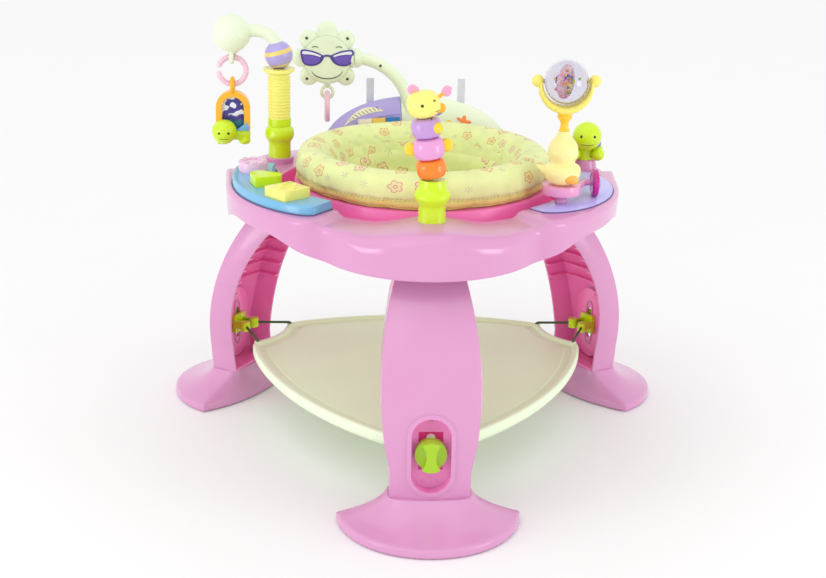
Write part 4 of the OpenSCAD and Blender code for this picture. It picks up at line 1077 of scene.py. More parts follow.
def stage_floor_paint():
    mat, t, bsdf = blank("studio_floor")
    grain = noise(t, object_vector(t), 6.0, 2.0)
    tone = grain.mix((0.955, 0.955, 0.955, 1), (0.965, 0.965, 0.965, 1))
    fill(t, bsdf, {"Base Color": tone, "Roughness": 0.9, "Specular IOR Level": 0.0})
    return mat


def stage_light_world(t):
    """Even light that looks pure white wherever it is seen."""
    t.nodes.clear()
    light, white = (
        node(t, "ShaderNodeBackground", {"Color": (1, 1, 1, 1), "Strength": power}) for power in (0.86, 1.0)
    )
    path = node(t, "ShaderNodeLightPath").outputs
    seen = Field(t, path["Is Camera Ray"]).max(path["Is Transmission Ray"]).max(path["Is Glossy Ray"])
    mix = node(t, "ShaderNodeMixShader", {0: seen, 1: light, 2: white})
    node(t, "ShaderNodeOutputWorld", {"Surface": mix})


def stage_lamp(name, place, size, power):
    light = bpy.data.lights.new(name, "AREA")
    light.shape = "SQUARE"
    light.size = size
    light.energy = power
    obj = linked(name, light)
    obj.location = place
    aim = Vector((0, 0.05, 0.3)) - Vector(place)
    obj.rotation_euler = aim.to_track_quat("-Z", "Y").to_euler()


def stage_aim_camera(scene):
    az, el, roll = radians(-2.787), radians(18.657), radians(1.075)
    back = Vector((sin(az) * cos(el), -cos(az) * cos(el), sin(el)))
    right = (-back).cross(Vector((0, 0, 1))).normalized()
    up = right.cross(-back)
    right, up = cos(roll) * right + sin(roll) * up, -sin(roll) * right + cos(roll) * up
    cam = bpy.data.cameras.new("camera")
    cam.sensor_fit = "HORIZONTAL"
    cam.sensor_width = 36
    cam.lens = 65.375
    cam.clip_end = 200
    obj = linked("camera", cam)
    place = Vector((-0.011, AXIS_Y * MM, 0.226)) + 2.284 * back
    axes = Matrix((right, up, back)).transposed().to_4x4()
    obj.matrix_world = Matrix.Translation(place) @ axes
    scene.camera = obj


class JUMPER_OT_stage(bpy.types.Operator):
    """Pale floor, soft studio light and the camera of the photograph"""

    bl_idname = "jumper.stage"
    bl_label = "Stage and camera"

    def execute(self, context):
        scene = context.scene
        scene.view_settings.view_transform = "Standard"
        corners = [(-30, -12, 0), (30, -12, 0), (30, 40, 0), (-30, 40, 0)]
        make("floor", corners, [(0, 1, 2, 3)], stage_floor_paint(), scale=1.0)
        world = bpy.data.worlds.new("studio")
        world.use_nodes = True
        scene.world = world
        stage_light_world(world.node_tree)
        stage_lamp("key", (-1.6, -1.9, 2.3), 1.5, 3)
        stage_lamp("fill", (1.9, -1.5, 1.8), 1.2, 1)
        for side in (-1, 1):
            stage_lamp("low", (2.1 * side, -1.2, 0.5), 0.9, 10)
        sun = bpy.data.lights.new("top", "SUN")
        sun.energy = 0.4
        sun.angle = radians(70)
        linked("top", sun).rotation_euler = (radians(14), radians(-16), 0)
        stage_aim_camera(scene)
        return {"FINISHED"}


def cords_map_cord(obj, pts):
    """Map with turns across and metres along."""
    layer = obj.data.uv_layers.new(name="cut")
    ends = np.cumsum([0] + [(b - a).length * MM for a, b in zip(pts, pts[1:])])
    line = np.array([tuple(p * MM) for p in pts])
    for poly in obj.data.polygons:
        for k in poly.loop_indices:
            co = np.array(obj.data.vertices[obj.data.loops[k].vertex_index].co)
            i = int(np.argmin(((line - co) ** 2).sum(1)))
            d = Vector(co - line[i])
            layer.data[k].uv = (atan2(d.z, d.x + d.y) / (2 * pi), ends[i])


def cords_knots(name, place, one, two, v):
    """Overhand knots: two turns of cord crossing round each end."""
    shapes = []
    for centre, axis in ((one, v), (two, Vector((0, 0, 1)))):
        side = axis.orthogonal().normalized()
        up = axis.cross(side)
        loop = []
        for t in turns(36):
            r = 2.2 + 0.5 * cos(3 * t)
            loop.append(
                place @ (centre + side * (r * cos(2 * t)) + up * (r * sin(2 * t)) + axis * (1.3 * sin(3 * t)))
            )
        shapes.append(tube(loop, 1.7, 8, closed=True))
    return make(f"{name}_knots", *joined(*shapes), plain_cloth("knot_cloth", colours().cord), sharp=60)


class JUMPER_OT_cords(bpy.types.Operator):
    """Six short braided cords from the adjusters to the platform's horns"""

    bl_idname = "jumper.cords"
    bl_label = "Platform cords"

    def execute(self, context):
        mat = braided_cord()
        wire = sizes().cord / MM / 2
        for leg, bearing in NAMED_LEGS:
            for side in (-1, 1):
                eye = Vector((CORD_EYE_X, side * CORD_EYE_Y, ADJUST_Z))
                horn = Vector((CORD_HORN_X, side * CORD_HORN_Y, DECK_TOP + 2.7))
                v = (horn - eye).normalized()
                down = Vector((0, 0, -1))
                path = [eye - v * 11.5, eye - v * 6, eye]
                path += [eye.lerp(horn, k / 8) for k in range(1, 8)]
                path += [horn - v * 3.5, horn - v * 1.2 + down * 0.35, horn + down * 2.2, horn + down * 5]
                path += [horn + down * k for k in (10, 16, 22, 26.4)]
                place = about(bearing)
                pts = [place @ p for p in path]
                name = f"cord_{leg}_{'a' if side < 0 else 'b'}"
                obj = make(name, *tube(pts, wire, 12), mat, sharp=60)
                cords_map_cord(obj, pts)
                knots = cords_knots(name, place, eye - v * 11.8, horn + down * 26.9, v)
                length = sum((b - a).length for a, b in zip(pts, pts[1:])) * MM
                start, end = place @ (eye + v * 10) * MM, place @ horn * MM
                for o in (obj, knots):
                    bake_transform(o)
                    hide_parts("cords")
                tuple(pts[0] * MM)
                [tuple(p * MM) for p in pts]
        return {"FINISHED"}


class JUMPER_OT_tray(bpy.types.Operator):
    """Lobed ring tray with its magenta well, screw bosses and toy bosses"""

    bl_idname = "jumper.tray"
    bl_label = "Tray"

    def execute(self, context):
        verts, faces, index = ring_grid(tray_section, 288)
        # The well's inside takes the magenta: painted shade and glow of the pink plastic.
        obj = make("tray", verts, faces, [tinted("pink"), tinted("magenta")], index, sharp=40)
        bosses = []
        for bearing in LEGS:
            for side in (-1, 1):
                place = about(bearing) @ by(242, side * 25, 368)
                top = tray_height(bearing + side * 5.9) - 368 - 1.7
                bosses.append(lathe([(2.2, 0), (6.4, 0), (7, 0.6), (7, top), (2.2, top)], 24, place))
        extra = make("tray_bosses", *joined(*bosses), tinted("pink"), sharp=40)
        for o in (obj, extra):
            piece(o, "stand", "pink_plastic", "tray_ring")
        dress("toy_bosses", tinted("pink"), 0.0012)
        # Painted shade and glow: the race inside the well in magenta.
        dress("seat_race", tinted("magenta"), 0)
        dress("frame_screws", screw_steel(), 0)
        dress("foot_pads", grip_rubber(), 0.0005)
        return {"FINISHED"}


FOOT_ARC_X, FOOT_ARC_R = 306.474, 126.526
FOOT_ARC_A = degrees(acos((318 - FOOT_ARC_X) / FOOT_ARC_R))
FOOT_INNER_R = (126**2 + 35**2) / 70
FOOT_INNER_X = 283 + FOOT_INNER_R
FOOT_INNER_A = degrees(asin(126 / FOOT_INNER_R))


def foot_edge(k, n):
    if k < n:
        b = radians(FOOT_ARC_A * (1 - 2 * k / n))
        return Vector((FOOT_ARC_X + FOOT_ARC_R * cos(b), FOOT_ARC_R * sin(b)))
    b = radians(FOOT_INNER_A * (1 - 2 * (k - n) / n))
    return Vector((FOOT_INNER_X - FOOT_INNER_R * cos(b), -FOOT_INNER_R * sin(b)))


class JUMPER_OT_feet(bpy.types.Operator):
    """Three almond feet that rise in a soft sweep to their legs"""

    bl_idname = "jumper.feet"
    bl_label = "Feet"

    def execute(self, context):
        n = 56
        rise = [(0, 0), (0.03, 0.1), (0.2, 0.2), (0.4, 0.32), (0.6, 0.47), (0.78, 0.64), (0.9, 0.8), (1, 1)]
        sweep = [(q.x, q.y) for q in through([(*s, 0) for s in rise], 5)]
        levels = [(0.014, 2.0), (0.004, 2.6), (0.0, 4.0), (0.0, 6.5)]
        levels += [(f, 9 + 39 * u) for f, u in sweep]
        base_x = LEG_X + sqrt(LEG_R**2 - 52**2) + 3 - 28
        for leg, bearing in NAMED_LEGS:
            place = about(bearing)
            rings = []
            for f, z in levels:
                ring = []
                for k in range(2 * n):
                    b = radians(90 - 180 * k / n)
                    c, s = cos(b), sin(b)
                    root = Vector((base_x + 28 * copysign(sqrt(abs(c)), c), 57.5 * copysign(sqrt(abs(s)), s)))
                    p = foot_edge(k, n).lerp(root, f)
                    ring.append(tuple(place @ Vector((p.x, p.y, z))))
                rings.append(ring)
            obj = make(f"foot_shell_{leg}", *loft(rings), tinted("pink"), sharp=50)
            piece(obj, "stand", "pink_plastic", f"foot_{leg}")
        return {"FINISHED"}


def legs_back_line(low, high, n):
    """Points down the middle of the channel's back wall."""
    out = []
    for k in range(n + 1):
        z = low + (high - low) * k / n
        out.append((LEG_X + sqrt((LEG_R - 3.6) ** 2 - (z - LEG_Z) ** 2), z))
    return out


class JUMPER_OT_legs(bpy.types.Operator):
    """Curved channel legs, magenta inside, with the border of the adjuster slot and pocket pips"""

    bl_idname = "jumper.legs"
    bl_label = "Legs"

    def execute(self, context):
        for leg, bearing in NAMED_LEGS:
            dress(f"leg_{leg}", leg_plastic(f"leg_plastic_{leg}", bearing), 0.0012, 24)
            place = about(bearing)
            outline = []
            for t in turns(96):
                y = 12 * cos(t) * (0.66 + 0.34 * abs(sin(t)) ** 3)
                outline.append(place @ Vector((335.4, y, ADJUST_Z + 37 * signed(sin(t), 0.8))))
            rib = [place @ Vector((x, 0, z)) for x, z in legs_back_line(176, 330, 18)]
            rib = tube(rib, [0.4] + [1.3] * (len(rib) - 2) + [0.4], 8)
            border = joined(tube(outline, 1.1, 8, closed=True), rib)
            add(f"slot_border_{leg}", border, tinted("pink", "pale_pink_trim"), 60, "stand", "pink_plastic")
            pips = ((0, ADJUST_Z + 44), (-9, ADJUST_Z - 42), (9, ADJUST_Z - 42))
            marks = [(place @ Vector((340.1, y, z)), place.to_3x3() @ Vector((1, 0, 0))) for y, z in pips]
            piece(dots(f"pocket_pips_{leg}", marks, 0.0022, 0.0011, tinted("pink")), "stand", "pink_plastic")
        return {"FINISHED"}


class JUMPER_OT_adjusters(bpy.types.Operator):
    """Sliding clips and turning knobs of the height adjusters"""

    bl_idname = "jumper.adjusters"
    bl_label = "Height adjusters"

    def execute(self, context):
        face = plastic("knob_plastic", srgb(166, 210, 4), 0.24, 0.4)
        for leg in ("front", "left", "right"):
            dress(f"clip_{leg}", tinted("lime"), 0.0009)
            dress(f"knob_{leg}", face, 0.0014, segments=3)
        return {"FINISHED"}


def deck_reach(a):
    """Plan of the platform at a bearing: three bowed sides, cut corners and their notches."""
    p, total = 46, 0.0
    for leg in LEGS:
        d = radians(a - leg)
        c, s = cos(d), sin(d)
        total += (DECK_SIDE_X * c + sqrt(DECK_SIDE_R**2 - (DECK_SIDE_X * s) ** 2)) ** -p
        if c > 0.5:
            total += (DECK_CORNER / c) ** -p
            room = DECK_NOTCH_R**2 - (DECK_NOTCH_X * s) ** 2
            if room > 0:
                total += (DECK_NOTCH_X * c - sqrt(room)) ** -p
    return total ** (-1 / p)


class JUMPER_OT_platform(bpy.types.Operator):
    """Three-sided bounce platform with a rolled rim, a stepped dish and eyelets for the cords"""

    bl_idname = "jumper.platform"
    bl_label = "Bounce platform"

    def execute(self, context):
        n = 540
        plan = np.array([[deck_reach(360 * i / n) * f(radians(360 * i / n)) for f in (cos, sin)] for i in range(n)])
        step = np.roll(plan, -1, 0) - np.roll(plan, 1, 0)
        out = np.stack([step[:, 1], -step[:, 0]], 1)
        out /= np.linalg.norm(out, axis=1)[:, None]
        rings, strips = [], []

        def ring(inset, z, paint, share=1.0):
            p = (plan - out * inset) * share
            rings.append([(x, y + AXIS_Y, z) for x, y in p])
            strips.append(paint)

        ring(0, 92, 1, 0.001)
        ring(20, 92, 1, 0.7)
        ring(20, 92, 1)
        for inset, z in (
            (18.5, 91), (18, 87), (17, 86), (6.5, 86), (5, 86.6), (4.5, 88), (4.3, 90.3), (3.4, 91), (1.2, 91.4),
            (0.3, 92.2), (0, 93.6), (0, 102.4), (0.4, 104), (1.4, 105.3), (3, 106), (5.6, 106.1),
        ):
            ring(inset, z, 1)
        for inset, z in (
            (7.6, 105.7), (8.8, 104.6), (9.4, 103), (9.9, 101.8), (11, 101.1), (13, 101), (21, 101.1), (22, 101.5),
            (22.7, 102.2), (24, 102.5), (26, 102.5),
        ):
            ring(inset, z, 0)
        for share in (0.9, 0.75, 0.55, 0.35, 0.15, 0.001):
            ring(26, 102.5 - 1.6 * (1 - share**2), 0, share)
        dish = cream()
        rim = plastic("platform_rim", colours().rim, 0.42, 0.1, grain=0.1)
        index = [strips[i + 1] for i in range(len(rings) - 1) for _ in range(n)]
        obj = make("bounce_platform", *loft(rings, cap=False), [dish, rim], index, sharp=50)
        piece(obj, "platform", "cream_plastic", "platform_deck")
        eyelets = []
        for bearing in LEGS:
            for side in (-1, 1):
                place = about(bearing) @ by(CORD_HORN_X, side * CORD_HORN_Y, DECK_TOP)
                eyelets.append(
                    lathe([(2.4, -2), (5.4, -1), (5.6, 0.2), (5, 1), (3.4, 1.1), (2.6, 0.4), (2.4, -2)], 28, place)
                )
        add("cord_eyelets", joined(*eyelets), rim, 60, "platform", "cream_plastic")
        return {"FINISHED"}


HOOP_SHARES = [
    (1, -0.8), (1, -0.2), (0.95, 0.35), (0.76, 0.76), (0.42, 0.97), (0.1, 1), (-0.22, 0.86),
    (-0.5, 0.5), (-0.74, 0.02), (-0.92, -0.5), (-1, -0.85), (-0.93, -1), (0, -1), (0.93, -1),
]


def hoop_section(rows, grow):
    """Section of the padded hoop in millimetres from its middle: steep outside, slope into the seat."""
    line = through([(x, z, 0) for x, z in HOOP_SHARES + HOOP_SHARES[:1]], 10)
    wide, high = HOOP_HALF_W + grow, HOOP_HALF_H + grow
    pts = np.array([(p.x * wide, p.y * high) for p in line])
    run = np.concatenate([[0], np.cumsum(np.hypot(*np.diff(pts, axis=0).T))])
    at = np.linspace(0, run[-1], rows, endpoint=False)
    return list(zip(np.interp(at, run, pts[:, 0]), np.interp(at, run, pts[:, 1])))


def seat_hoop():
    section = hoop_section(40, -2.0)
    section = [(HOOP_MID_R + x, HOOP_MID_Z + z) for x, z in section]
    rings = [[(r * cos(a), r * sin(a) + AXIS_Y, z) for r, z in section] for a in turns(120)]
    obj = make("padded_hoop", *loft(rings, closed=True), print_cloth("hem_cloth", True), sharp=180)
    seat_swell(obj)
    seat_sew(obj)
    seat_map_hoop(obj)
    return smooth(obj, 180)


def seat_swell(obj):
    """Pressure puffs the padding out, held to a few millimetres."""
    scene = bpy.context.scene
    modify(obj, "Even", "REMESH", mode="VOXEL", voxel_size=0.005, use_smooth_shade=True)
    settle(obj)
    rest = np.array([v.co for v in obj.data.vertices])
    cloth = modify(obj, "Cloth", "CLOTH")
    cloth.settings.use_pressure = True
    cloth.settings.uniform_pressure_force = 4
    cloth.settings.effector_weights.gravity = 0
    cloth.settings.quality = 6
    cloth.point_cache.frame_start = 1
    cloth.point_cache.frame_end = 20
    for f in range(1, 21):
        scene.frame_set(f)
    settle(obj)
    scene.frame_set(1)
    moved_to = np.array([v.co for v in obj.data.vertices])
    if moved_to.shape == rest.shape:
        d = moved_to - rest
        size = np.linalg.norm(d, axis=1)[:, None]
        d *= np.minimum(1, sizes().puff / np.maximum(size, 1e-9))
        obj.data.vertices.foreach_set("co", (rest + d).ravel())
    modify(obj, "Fine", "SUBSURF", levels=1, render_levels=1)
    settle(obj)


def seat_sew(obj):
    """Draws in the sewn lines, with small puckers beside them, and dimples the padding."""
    for v in obj.data.vertices:
        p = Vector(v.co) / MM
        d = Vector((p.x, p.y - AXIS_Y))
        r, a = d.length, atan2(d.y, d.x)
        wide, high = (r - HOOP_MID_R) / HOOP_HALF_W, (p.z - HOOP_MID_Z) / HOOP_HALF_H
        f = atan2(high, wide)
        pull = 0.0
        for seam, depth, spread in ((-0.45, 2.0, 0.09), (-0.9, 1.6, 0.07)):
            pull += depth * exp(-(((f - seam) / spread) ** 2))
        ripple = 0.0
        for seam, size in ((-0.45, 0.6), (2.9, 0.7)):
            near = exp(-(((f - seam) / 0.36) ** 2))
            ripple += size * near * sin(a * 46 + 2.2 * sin(a * 7) + f * 3)
        lump = 0.8 * sin(a * 5 + 1.3 * sin(2 * f)) + 0.5 * sin(a * 11 + 2 * f)
        cross = 0.0
        for at in (radians(-150), radians(-30), radians(90)):
            away = abs((a - at + pi) % (2 * pi) - pi)
            cross += 1.8 * exp(-((away / 0.014) ** 2))
        out = Vector((cos(a) * wide, sin(a) * wide, high)).normalized()
        v.co = Vector(v.co) + out * ((ripple + lump * 0.5 - pull - cross) * MM)


def seat_map_hoop(obj):
    """Cut map in metres: round the hoop and round its section."""
    layer = obj.data.uv_layers.new(name="cut")
    co = np.array([v.co for v in obj.data.vertices]) / MM
    a = np.arctan2(co[:, 1] - AXIS_Y, co[:, 0])
    r = np.hypot(co[:, 0], co[:, 1] - AXIS_Y)
    f = np.arctan2((co[:, 2] - HOOP_MID_Z) / HOOP_HALF_H, (r - HOOP_MID_R) / HOOP_HALF_W)
    for poly in obj.data.polygons:
        ids = [obj.data.loops[k].vertex_index for k in poly.loop_indices]
        for k, i in zip(poly.loop_indices, ids):
            layer.data[k].uv = (unwrapped(a[i], a[ids[0]]) * 0.175, unwrapped(f[i], f[ids[0]]) * 0.03)


def piping_cloth():
    return plain_cloth("piping_cloth", srgb(214, 206, 112))


def seat_hoop_sewing(hoop):
    """Double stitch row low on the outside and a piped edge round the bottom."""
    rows, faces = [], []
    skin = seat_surface(hoop)
    for f in (-0.40, -0.50):
        line = []
        for a in turns(360):
            p, out = skin(a, f)
            line.append(p + out * 0.35)
            faces.append(out)
        rows.append((line, True))
    thread = plain_cloth("seam_thread", srgb(206, 196, 96), 0.0006)
    piece(stitches("hoop_stitches", rows, faces, thread), "seat", "print_cloth")
    edge = []
    for a in turns(240):
        p, out = skin(a, -0.92)
        edge.append(p + out * 0.6)
    add("hoop_piping", tube(edge, 1.7, 10, closed=True), piping_cloth(), 180, "seat", "print_cloth")


def seat_surface(obj):
    """Finder of the point on the hoop at a bearing and a turn of the section."""
    shell = BVHTree.FromPolygons(
        [tuple(v.co) for v in obj.data.vertices], [tuple(p.vertices) for p in obj.data.polygons]
    )

    def find(a, f):
        mid = Vector((HOOP_MID_R * cos(a), HOOP_MID_R * sin(a) + AXIS_Y, HOOP_MID_Z)) * MM
        wide = cos(f) * HOOP_HALF_W
        ray = Vector((cos(a) * wide, sin(a) * wide, sin(f) * HOOP_HALF_H)).normalized()
        hit, normal, _, _ = shell.ray_cast(mid + ray * 0.06, -ray)
        if hit is None:
            raise RuntimeError("the hoop has a hole where its seam should lie")
        if normal.dot(ray) < 0:
            normal = -normal
        return hit / MM, normal

    return find


def seat_sling():
    """Bucket of cloth from the hoop's inner seam down to two bound leg holes."""
    rows = 46
    shares = [
        (1.12, 1.22), (1.0, 1.08), (0.955, 0.98), (0.95, 0.8), (0.93, 0.55), (0.88, 0.32), (0.78, 0.15), (0.6, 0.05),
        (0.35, 0.01), (0.02, 0),
    ]
    profile = through([(*s, 0) for s in shares], 8)
    steps = [((q.x - p.x) * SLING_R, (q.y - p.y) * SLING_DEPTH) for p, q in zip(profile, profile[1:])]
    lengths = np.cumsum([0] + [Vector(d).length for d in steps])
    even = np.linspace(0, lengths[-1], rows + 1)
    xs = np.interp(even, lengths, [p.x for p in profile])
    ys = np.interp(even, lengths, [p.y for p in profile])
    base = RING_TOP - SLING_DEPTH
    rings = []
    for j in range(rows + 1):
        ring = []
        for a in turns(144):
            fold = 1.6 * sin(6 * a + 0.8) * sin(pi * min(1, j / rows * 1.25)) * (j / rows)
            r = xs[j] * SLING_R * 0.975 + fold
            z = base + 2 + ys[j] * SLING_DEPTH + 0.5 * sin(9 * a + j * 0.4) * (j / rows)
            ring.append((r * cos(a), r * sin(a) + AXIS_Y, z))
        rings.append(ring)
    verts, faces = loft(rings, cap=False)
    low = base + SLING_DEPTH * 0.5

    def hole_gap(v):
        return min(hypot(v[0] - s * LEG_HOLE_X, v[1] - AXIS_Y) for s in (-1, 1)) - LEG_HOLE_R

    keep = [
        f for f in faces if not (all(verts[i][2] < low for i in f) and sum(hole_gap(verts[i]) for i in f) / 4 < 0)
    ]
    count = Counter(tuple(sorted(e)) for f in keep for e in zip(f, f[1:] + f[:1]))
    rim = {i for e, c in count.items() if c == 1 for i in e if verts[i][2] < low}
    for i in rim:
        x, y, z = verts[i]
        s = 1 if x > 0 else -1
        d = Vector((x - s * LEG_HOLE_X, y - AXIS_Y)).normalized() * LEG_HOLE_R
        verts[i] = (s * LEG_HOLE_X + d.x, AXIS_Y + d.y, z)
    used = sorted({i for f in keep for i in f})
    index = {i: k for k, i in enumerate(used)}
    obj = make(
        "seat_bucket", [verts[i] for i in used], [tuple(index[i] for i in f) for f in keep], print_cloth(), sharp=180
    )
    seat_map_bucket(obj)
    seat_round_off(obj, low)
    modify(obj, "Cloth", "SOLIDIFY", thickness=0.0022, offset=0)
    modify(obj, "Soft", "SUBSURF", levels=1, render_levels=1)
    settle(obj)
    smooth(obj, 180)
    piece(obj, "seat", "print_cloth", "seat_sling")
    bound = []
    for s in (-1, 1):
        loop = []
        for t in turns(72):
            x, y = s * LEG_HOLE_X + LEG_HOLE_R * cos(t), LEG_HOLE_R * sin(t)
            loop.append((x, y + AXIS_Y, seat_height(hypot(x, y), xs, ys, base)))
        bound.append(tube(loop, 2.6, 10, closed=True))
    add("leg_hole_binding", joined(*bound), piping_cloth(), 180, "seat", "print_cloth")


def seat_height(r, xs, ys, base):
    low = [k for k in range(len(xs)) if ys[k] < 0.7]
    radii = [xs[k] * SLING_R * 0.975 for k in low][::-1]
    rise = [base + 2 + ys[k] * SLING_DEPTH for k in low][::-1]
    return float(np.interp(r, radii, rise))


def seat_round_off(obj, low):
    """Evens the cut edge of each leg hole onto its circle."""
    work = bmesh.new()
    work.from_mesh(obj.data)
    for v in work.verts:
        if v.is_boundary and v.co.z / MM < low:
            s = 1 if v.co.x > 0 else -1
            d = Vector((v.co.x - s * LEG_HOLE_X * MM, v.co.y - AXIS_Y * MM)).normalized() * LEG_HOLE_R * MM
            v.co.x, v.co.y = s * LEG_HOLE_X * MM + d.x, AXIS_Y * MM + d.y
    work.to_mesh(obj.data)
    work.free()


def seat_map_bucket(obj):
    layer = obj.data.uv_layers.new(name="cut")
    for poly in obj.data.polygons:
        first = None
        for k in poly.loop_indices:
            co = obj.data.vertices[obj.data.loops[k].vertex_index].co
            a = atan2(co.y - AXIS_Y * MM, co.x)
            if first is None:
                first = a
            layer.data[k].uv = (unwrapped(a, first) * 0.12, co.z + 0.3 - 0.6 * hypot(co.x, co.y - AXIS_Y * MM))


class JUMPER_OT_seat(bpy.types.Operator):
    """Padded hoop, sewn sling with two leg holes, and the ring that they turn with"""

    bl_idname = "jumper.seat"
    bl_label = "Seat"

    def execute(self, context):
        # Painted shade and glow: the seat ring in magenta, as the pink plastic looks inside the well.
        dress("seat_ring", tinted("magenta"), 0.0006)
        dress("seat_glides", cream(), 0)
        hoop = seat_hoop()
        piece(hoop, "seat", "print_cloth", "seat_hoop")
        seat_hoop_sewing(hoop)
        seat_sling()
        return {"FINISHED"}


def sector_line(from_a, to_a, inset=0.0, n=72, bow=0.35):
    """Outline of a station's inlay, out along the tray's edge and back along the well."""
    outer, inner = [], []
    for i in range(n + 1):
        t = i / n
        a = from_a + (to_a - from_a) * t
        full = tray_reach(a) - 7 - 220
        r = 220 + full * sin(pi * (0.02 + 0.96 * t)) ** bow - inset
        d = radians(a)
        outer.append((r * cos(d), r * sin(d) + AXIS_Y))
        inner.append(((220 + inset) * cos(d), (220 + inset) * sin(d) + AXIS_Y))
    return outer + inner[::-1]


def groove(name, outline, z, wire=0.8):
    """Painted shadow: a dark line standing for the shade in the gap round an inlay."""
    line = tube([(x, y, z) for x, y in outline], wire, 6, closed=True)
    add(name, line, ink("parting_line", (84, 74, 120)), 180, "stand", "blue_plastic")


def arc(radius, start, end, n, place):
    """Arc of points in a place's own XY plane."""
    out = []
    for k in range(n + 1):
        t = radians(start + (end - start) * k / n)
        out.append(place @ Vector((radius * cos(t), radius * sin(t), 0)))
    return out


def taper(n, wire, tip=0.35):
    return [wire * (tip + (1 - tip) * min(1.0, 4 * k / (n - 1), 4 * (n - 1 - k) / (n - 1))) for k in range(n)]


def ring_link(name, body, node_name, place, gap=None):
    """Ring link with fine ridges round its wire, closed or with a small gap."""
    mat = plastic("link_plastic", srgb(246, 206, 224), 0.34, 0.2)
    start, end = (0, 360) if gap is None else (gap + 9, gap + 351)
    n = 72
    pts = arc(LINK_R, start, end, n, place)
    if gap is None:
        shape = tube(pts[:-1], LINK_WIRE * 0.92, 14, closed=True)
    else:
        shape = tube(pts, [LINK_WIRE * w for w in [0.45, 0.8] + [0.92] * (n - 3) + [0.8, 0.45]], 14)
    add(name, shape, mat, 180, body, "pink_plastic", node_name)
    run = path_object(f"{name}_ridges", [(pts[4:-4], False)])
    run_tree(
        run,
        ridge_tree(),
        {"Step": sizes().ridge_step, "Wire": LINK_WIRE * MM * 0.9, "Ridge": 0.0007, "Material": mat},
    )
    piece(run, body, "pink_plastic", node_name)


def station_rim():
    """Rounded outer rim of the shape tray, standing clear of the square and round blocks."""
    n = 72
    inner, outer = sector_line(SHAPE_FROM, SHAPE_TO, 2.6, n), sector_line(SHAPE_FROM, SHAPE_TO, 0.0, n, 0.14)
    rings = []
    for i in range(n + 1):
        a = SHAPE_FROM + (SHAPE_TO - SHAPE_FROM) * i / n
        d = way(a)
        near, far = (hypot(p[i][0], p[i][1] - AXIS_Y) for p in (inner, outer))
        near = max(near, station_clear_of_blocks(a))
        section = ((near, 0.2), (far, 0.2), (far, 10.6), (far - 0.7, 12.3), (far - 2.4, 13.05), (near, 13.05))
        rings.append([tuple(d * r + Vector((0, AXIS_Y, SHAPE_TOP + z))) for r, z in section])
    add("shape_tray_rim", loft(rings), tinted("blue"), 50, "stand", "blue_plastic")


def station_clear_of_blocks(a):
    """Radius that clears the pockets of the square and the round block at a bearing."""
    off = radians(a - 219)
    if abs(off) < radians(4.9):
        return 272.8 / cos(off)
    side = POST_R * sin(radians(a - 183))
    return sqrt(POST_R**2 - side**2) + sqrt(21.8**2 - side**2) if abs(side) < 21.8 else 0.0


class JUMPER_OT_left_station(bpy.types.Operator):
    """Shape tray with its press blocks"""

    bl_idname = "jumper.left_station"
    bl_label = "Shape tray and blocks"

    def execute(self, context):
        dress("shape_tray", tinted("blue"), 0.001)
        groove("shape_tray_gap", sector_line(SHAPE_FROM, SHAPE_TO, -1.0, bow=0.14), SHAPE_TOP + 0.6, 1.1)
        station_rim()
        dress("block_square", tinted("yellow"), 0.0016, segments=3)
        dress("block_heart", tinted("lime"), 0.0018, segments=3)
        dress("block_round", plastic("pale_pink_plastic", srgb(240, 200, 226), 0.32, 0.25), 0.0014, segments=3)
        return {"FINISHED"}


class JUMPER_OT_left_post(bpy.types.Operator):
    """Lime base, ribbed tube, striped swivel ball and bent arm"""

    bl_idname = "jumper.left_post"
    bl_label = "Left post"

    def execute(self, context):
        c = colours()
        dress("post_base", tinted("lime"), 0, 40)
        dress("post_tube", tinted("yellow"), 0, 50)
        tilt = spot(LEFT_X, LEFT_Y, BALL_Z) @ turn(-14, "Y")
        stripes = bands(tilt, ((2.5, 8.5), (-16.5, -14)), srgb(240, 214, 110))
        dress("swivel_ball", plastic("striped_ball", c.lavender, 0.3, 0.3, pattern=stripes), 0, 40)
        dress("toy_arm", tinted("pale_green"), 0, 40)
        place = spot(ARM_BALL_X, LEFT_Y, 0)
        collar = lathe([(4.5, 569), (13.5, 568.5), (13.2, 566.4), (10.5, 563.4), (7.6, 561.4), (4.5, 561)], 40, place)
        add("arm_ball_collar", collar, tinted("pale_green"), 50, "toy_arm", "pale_green_plastic")
        ring_link("left_link", "link_left", "link_left", spot(ARM_BALL_X, LEFT_Y, LINK_Z) @ turn(90, "X"), gap=176)
        screws = []
        for a, z, r in ((-80, 441, 20), (-128, 412, 16.6)):
            d = way(a)
            screws.append((spot(LEFT_X, LEFT_Y, z) @ (d * r), d))
        piece(dots("post_screws", screws, sizes().screw * 0.8, 0.0005, dark_recess()), "stand", "lime_plastic")
        return {"FINISHED"}


def hanging_soft_box(n):
    return [(signed(cos(t), 0.45), signed(sin(t), 0.5)) for t in turns(n)]


def hanging_picture():
    """Night sky over water, with soft clouds: wavy bands and rounded patches."""

    def paint(t, vector, colour):
        local = local_vector(t, vector, spot(ARM_BALL_X, LEFT_Y, TURTLE_Z))
        x, _, z = split(t, local)
        level = z + (x * 420.0).sine() * 0.0016
        sea = level.ramp(0.014, 0.0148).mix(srgb(24, 110, 140), colour)
        cloud = noise(t, local, 95.0, 0.0).ramp(0.56, 0.58) * level.ramp(0.02, 0.024)
        return cloud.mix(sea, srgb(232, 240, 250))

    return plastic("turtle_picture", srgb(58, 44, 140), 0.25, 0.4, pattern=paint)


